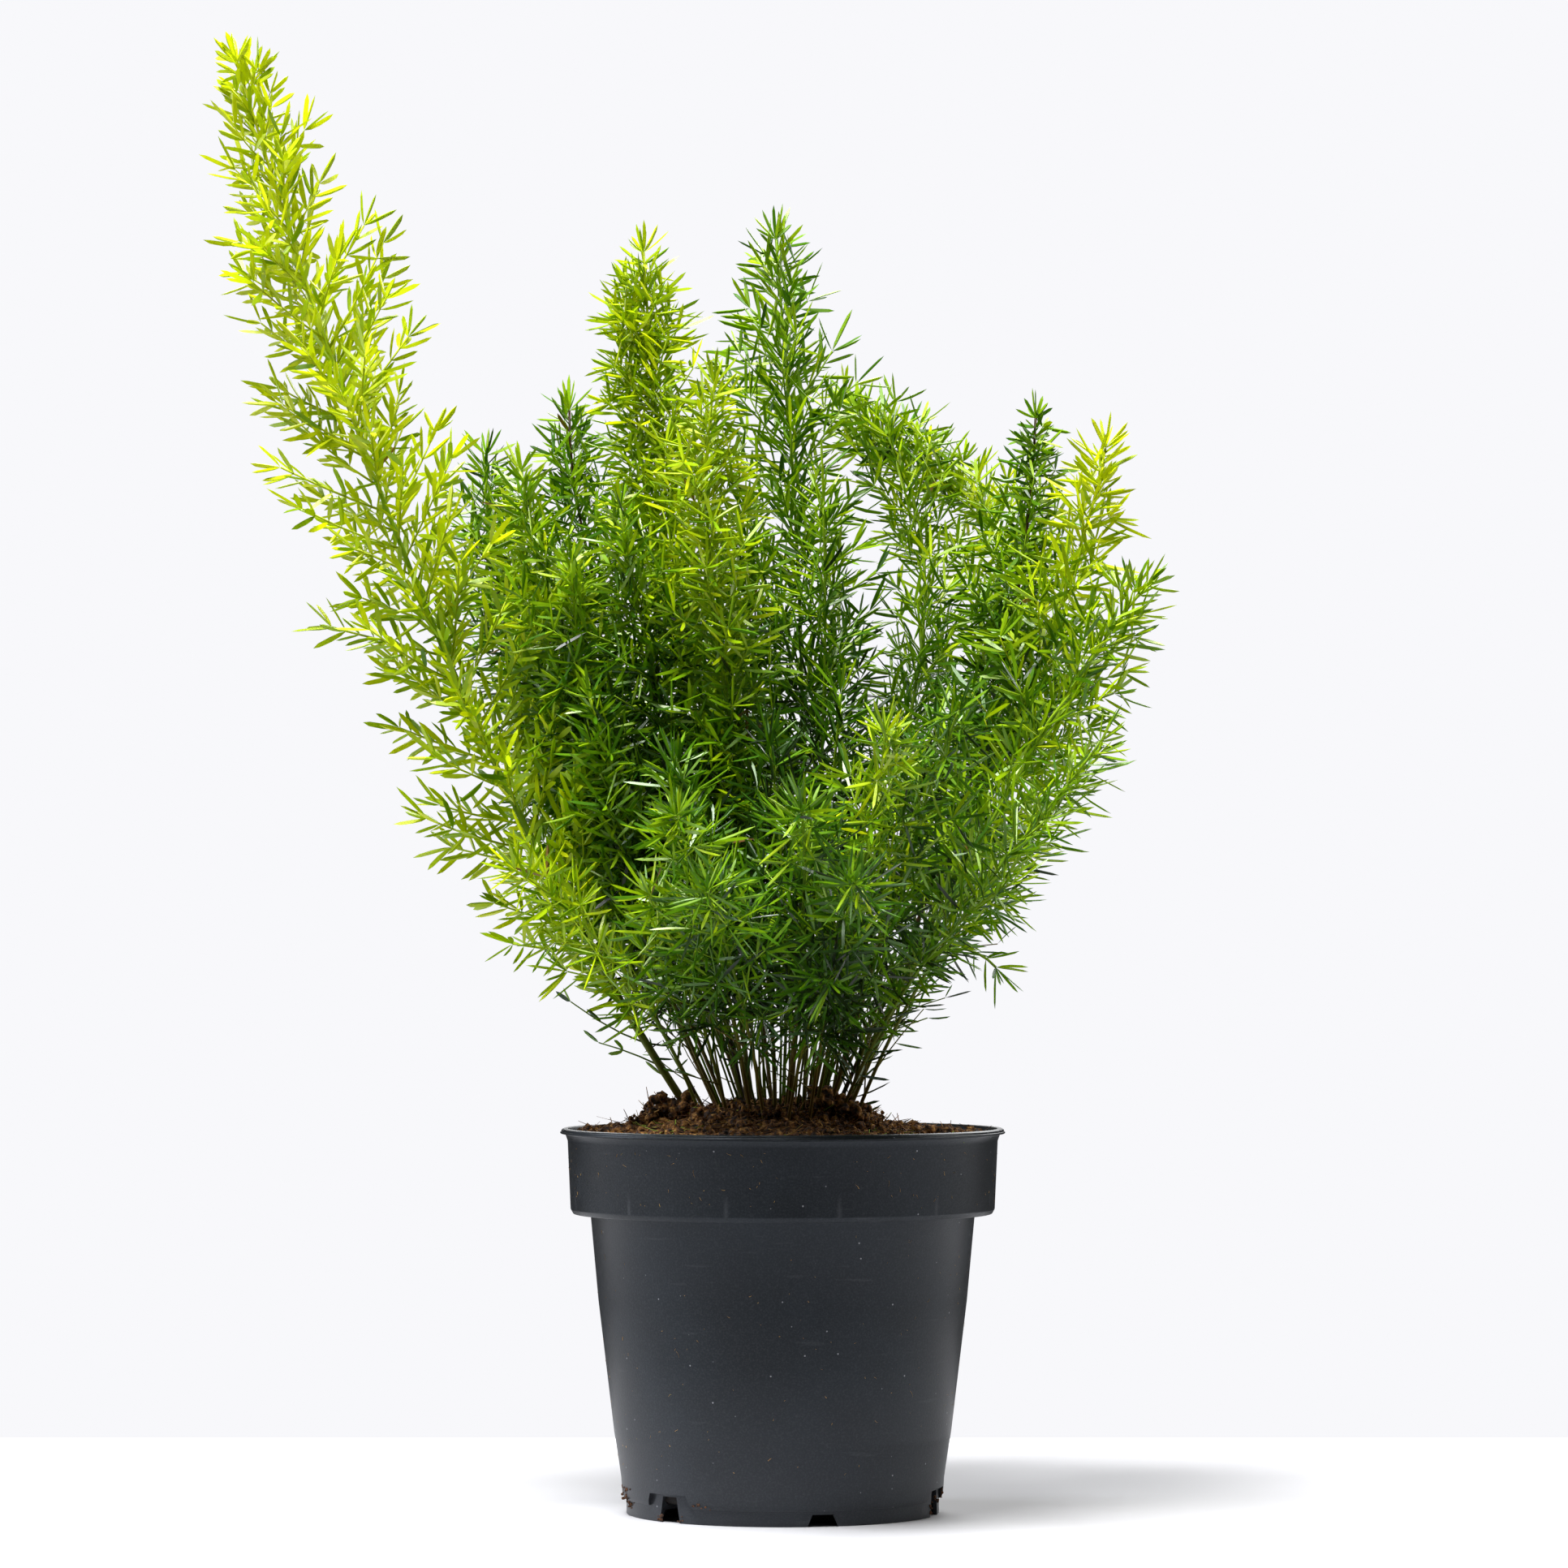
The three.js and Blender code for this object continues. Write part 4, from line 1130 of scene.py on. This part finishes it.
PHOTO_SIDE = 1932
FOCAL_PIXELS = 7600
SENSOR = 36
CAMERA_HEIGHT = 0.225
AIM = Vector((0.0005, 0, 0.278))
FLOOR_SIZE = (1.3, 0.76, 1)
FLOOR_PLACE = (0, -0.04, 0)
# Soft boxes: place and size in metres, power in watts, and colour. All face the plant's middle.
LIT_MIDDLE = Vector((0, 0, 0.25))
SOFT_BOXES = {
    "left_box": ((-2.1, 0.3, 0.9), (0.9, 1.4), 30, "#f0f4ff"),
    "right_box": ((2.1, 0.3, 1.0), (0.9, 1.4), 20, "#fffdf8"),
    "back_box": ((0.3, 2.3, 1.6), (2.2, 1.4), 54, "#ffffff"),
    "top_box": ((-0.4, -0.6, 2.2), (0.8, 0.8), 119, "#ffffff"),
}


def placed(name, data, place, aim):
    """A light or a camera at a place, turned to face a point."""
    made = linked(name, data)
    made.location = place
    made.rotation_euler = (aim - Vector(place)).to_track_quat("-Z", "Y").to_euler()
    return made


def painted_board(colour):
    """A board painted matt: a plain pale ground that takes a soft shadow."""
    material, tree = new_material("painted_board")
    shader = add_node(tree, "BsdfPrincipled", {"Base Color": (*colour, 1)}, Roughness=0.7)
    add_node(tree, "OutputMaterial", {"Surface": shader})
    return material


def make_world():
    """A pale wall to the camera, which itself lights the plant only a little."""
    world = bpy.data.worlds.new("studio")
    world.use_nodes = True
    tree = world.node_tree
    tree.nodes.clear()
    seen = add_node(tree, "Background", Color=linear("#f8f8fb"), Strength=1.0)
    lit = add_node(tree, "Background", Color=linear("#ffffff"), Strength=0.04)
    to_camera = add_node(tree, "LightPath").outputs["Is Camera Ray"]
    mixed = add_node(tree, "MixShader", {0: to_camera, 1: lit, 2: seen})
    add_node(tree, "OutputWorld", {"Surface": mixed})
    return world


def make_stage(settings):
    """The floor, the wall behind it, the studio light and the camera."""
    scene = bpy.context.scene
    bm = bmesh.new()
    bmesh.ops.create_grid(bm, x_segments=1, y_segments=1, size=0.5)
    bmesh.ops.scale(bm, vec=FLOOR_SIZE, verts=bm.verts)
    bmesh.ops.translate(bm, vec=FLOOR_PLACE, verts=bm.verts)
    floor = object_from("floor", bm)
    floor.data.materials.append(painted_board(settings.floor))
    scene.world = make_world()
    for name, (place, size, power, colour) in SOFT_BOXES.items():
        light = bpy.data.lights.new(name, "AREA")
        light.shape = "RECTANGLE"
        light.size, light.size_y = size
        light.energy = power
        light.color = linear(colour)[:3]
        placed(name, light, place, LIT_MIDDLE)
    lens = bpy.data.cameras.new("camera")
    lens.sensor_width = SENSOR
    lens.lens = SENSOR * FOCAL_PIXELS / PHOTO_SIDE
    lens.dof.use_dof = False
    scene.camera = placed("camera", lens, (0, -settings.distance, CAMERA_HEIGHT), AIM)
    scene.view_settings.view_transform = "Standard"


# Settings


class FernPotSettings(bpy.types.PropertyGroup):
    segments: bpy.props.IntProperty(
        name="Segments", description="Faces round the pot", default=144, min=24
    )
    rounding: bpy.props.FloatProperty(
        name="Rounding", description="Radius that the mould leaves on the pot's edges",
        default=0.25 * MM, unit="LENGTH",
    )


class FernMixSettings(bpy.types.PropertyGroup):
    grid: bpy.props.IntProperty(
        name="Grid", description="Faces across the top of the mix", default=150, min=16
    )
    crumbs: bpy.props.IntProperty(
        name="Crumbs", description="Loose crumbs on the mix", default=2600, min=1
    )
    fibres: bpy.props.IntProperty(
        name="Fibres", description="Fibres on the mix", default=3000, min=1
    )
    specks: bpy.props.IntProperty(
        name="Specks", description="Dust fibres on the outside of the pot", default=420, min=1
    )
    seed: bpy.props.IntProperty(name="Seed", description="Seed of the scatter", default=7)


class FernFoliageSettings(bpy.types.PropertyGroup):
    length: bpy.props.FloatProperty(
        name="Cladode length", description="Length of the cladodes, as a share of their usual one",
        default=1.0, subtype="FACTOR", min=0.2, max=2.0,
    )
    width: bpy.props.FloatProperty(
        name="Cladode width", description="Width of the cladodes, as a share of their usual one",
        default=1.0, subtype="FACTOR", min=0.2, max=2.0,
    )
    girth: bpy.props.FloatProperty(
        name="Stem girth", description="Thickness of the stems, as a share of what the list says",
        default=0.58, subtype="FACTOR", min=0.2, max=1.0,
    )
    dry_share: bpy.props.FloatProperty(
        name="Dry share", description="Share of the cladodes that have dried",
        default=0.0015, subtype="FACTOR", min=0.0, max=1.0,
    )
    seed: bpy.props.IntProperty(name="Seed", description="Seed of the growth", default=100)


class FernStageSettings(bpy.types.PropertyGroup):
    floor: bpy.props.FloatVectorProperty(
        name="Floor", description="Colour of the floor", default=linear("#bfbfc2")[:3],
        subtype="COLOR",
    )
    distance: bpy.props.FloatProperty(
        name="Camera distance", description="Distance from the camera to the pot's axis",
        default=2.36, unit="LENGTH",
    )


# Operators, panel and registration


class FERN_OT_pot(bpy.types.Operator):
    """Makes the moulded pot with its drainage notches"""

    bl_idname = "fern.pot"
    bl_label = "Pot"

    def execute(self, context):
        make_pot(context.scene.fern_pot)
        return {"FINISHED"}


class FERN_OT_mix(bpy.types.Operator):
    """Makes the potting mix with its crumbs and fibres, and the specks on the pot"""

    bl_idname = "fern.mix"
    bl_label = "Potting mix"

    def execute(self, context):
        for make in (make_mix, make_crumbs, make_fibres, make_specks):
            make(context.scene.fern_mix)
        return {"FINISHED"}


class FERN_OT_foliage(bpy.types.Operator):
    """Grows every leafy stem with its branchlets and cladodes"""

    bl_idname = "fern.foliage"
    bl_label = "Foliage"

    def execute(self, context):
        for number in range(1, len(STEMS) + 1):
            make_stem(number, context.scene.fern_foliage)
        return {"FINISHED"}


class FERN_OT_stage(bpy.types.Operator):
    """Sets up the floor, the studio light and the camera"""

    bl_idname = "fern.stage"
    bl_label = "Stage"

    def execute(self, context):
        make_stage(context.scene.fern_stage)
        return {"FINISHED"}


class FERN_PT_sidebar(bpy.types.Panel):
    """Lists the operators that build the fern"""

    bl_label = "Asparagus fern"
    bl_idname = "FERN_PT_sidebar"
    bl_space_type = "VIEW_3D"
    bl_region_type = "UI"
    bl_category = "Fern"

    def draw(self, context):
        for name, operator in zip(GROUPS, OPERATORS):
            settings = getattr(context.scene, name)
            box = self.layout.box()
            for setting in settings.__annotations__:
                box.prop(settings, setting)
            box.operator(operator.bl_idname)


# Settings on the scene, and the operators that read them, in the same order
GROUPS = {
    "fern_stage": FernStageSettings,
    "fern_pot": FernPotSettings,
    "fern_mix": FernMixSettings,
    "fern_foliage": FernFoliageSettings,
}
OPERATORS = (FERN_OT_stage, FERN_OT_pot, FERN_OT_mix, FERN_OT_foliage)
CLASSES = (*GROUPS.values(), *OPERATORS, FERN_PT_sidebar)


def register():
    for each in CLASSES:
        bpy.utils.register_class(each)
    for name, group in GROUPS.items():
        setattr(bpy.types.Scene, name, bpy.props.PointerProperty(type=group))


def unregister():
    for name in GROUPS:
        delattr(bpy.types.Scene, name)
    for each in reversed(CLASSES):
        bpy.utils.unregister_class(each)


def main():
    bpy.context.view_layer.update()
    register()
    bpy.ops.fern.stage()
    bpy.ops.fern.pot()
    bpy.ops.fern.mix()
    bpy.ops.fern.foliage()


if __name__ == "__main__":
    main()
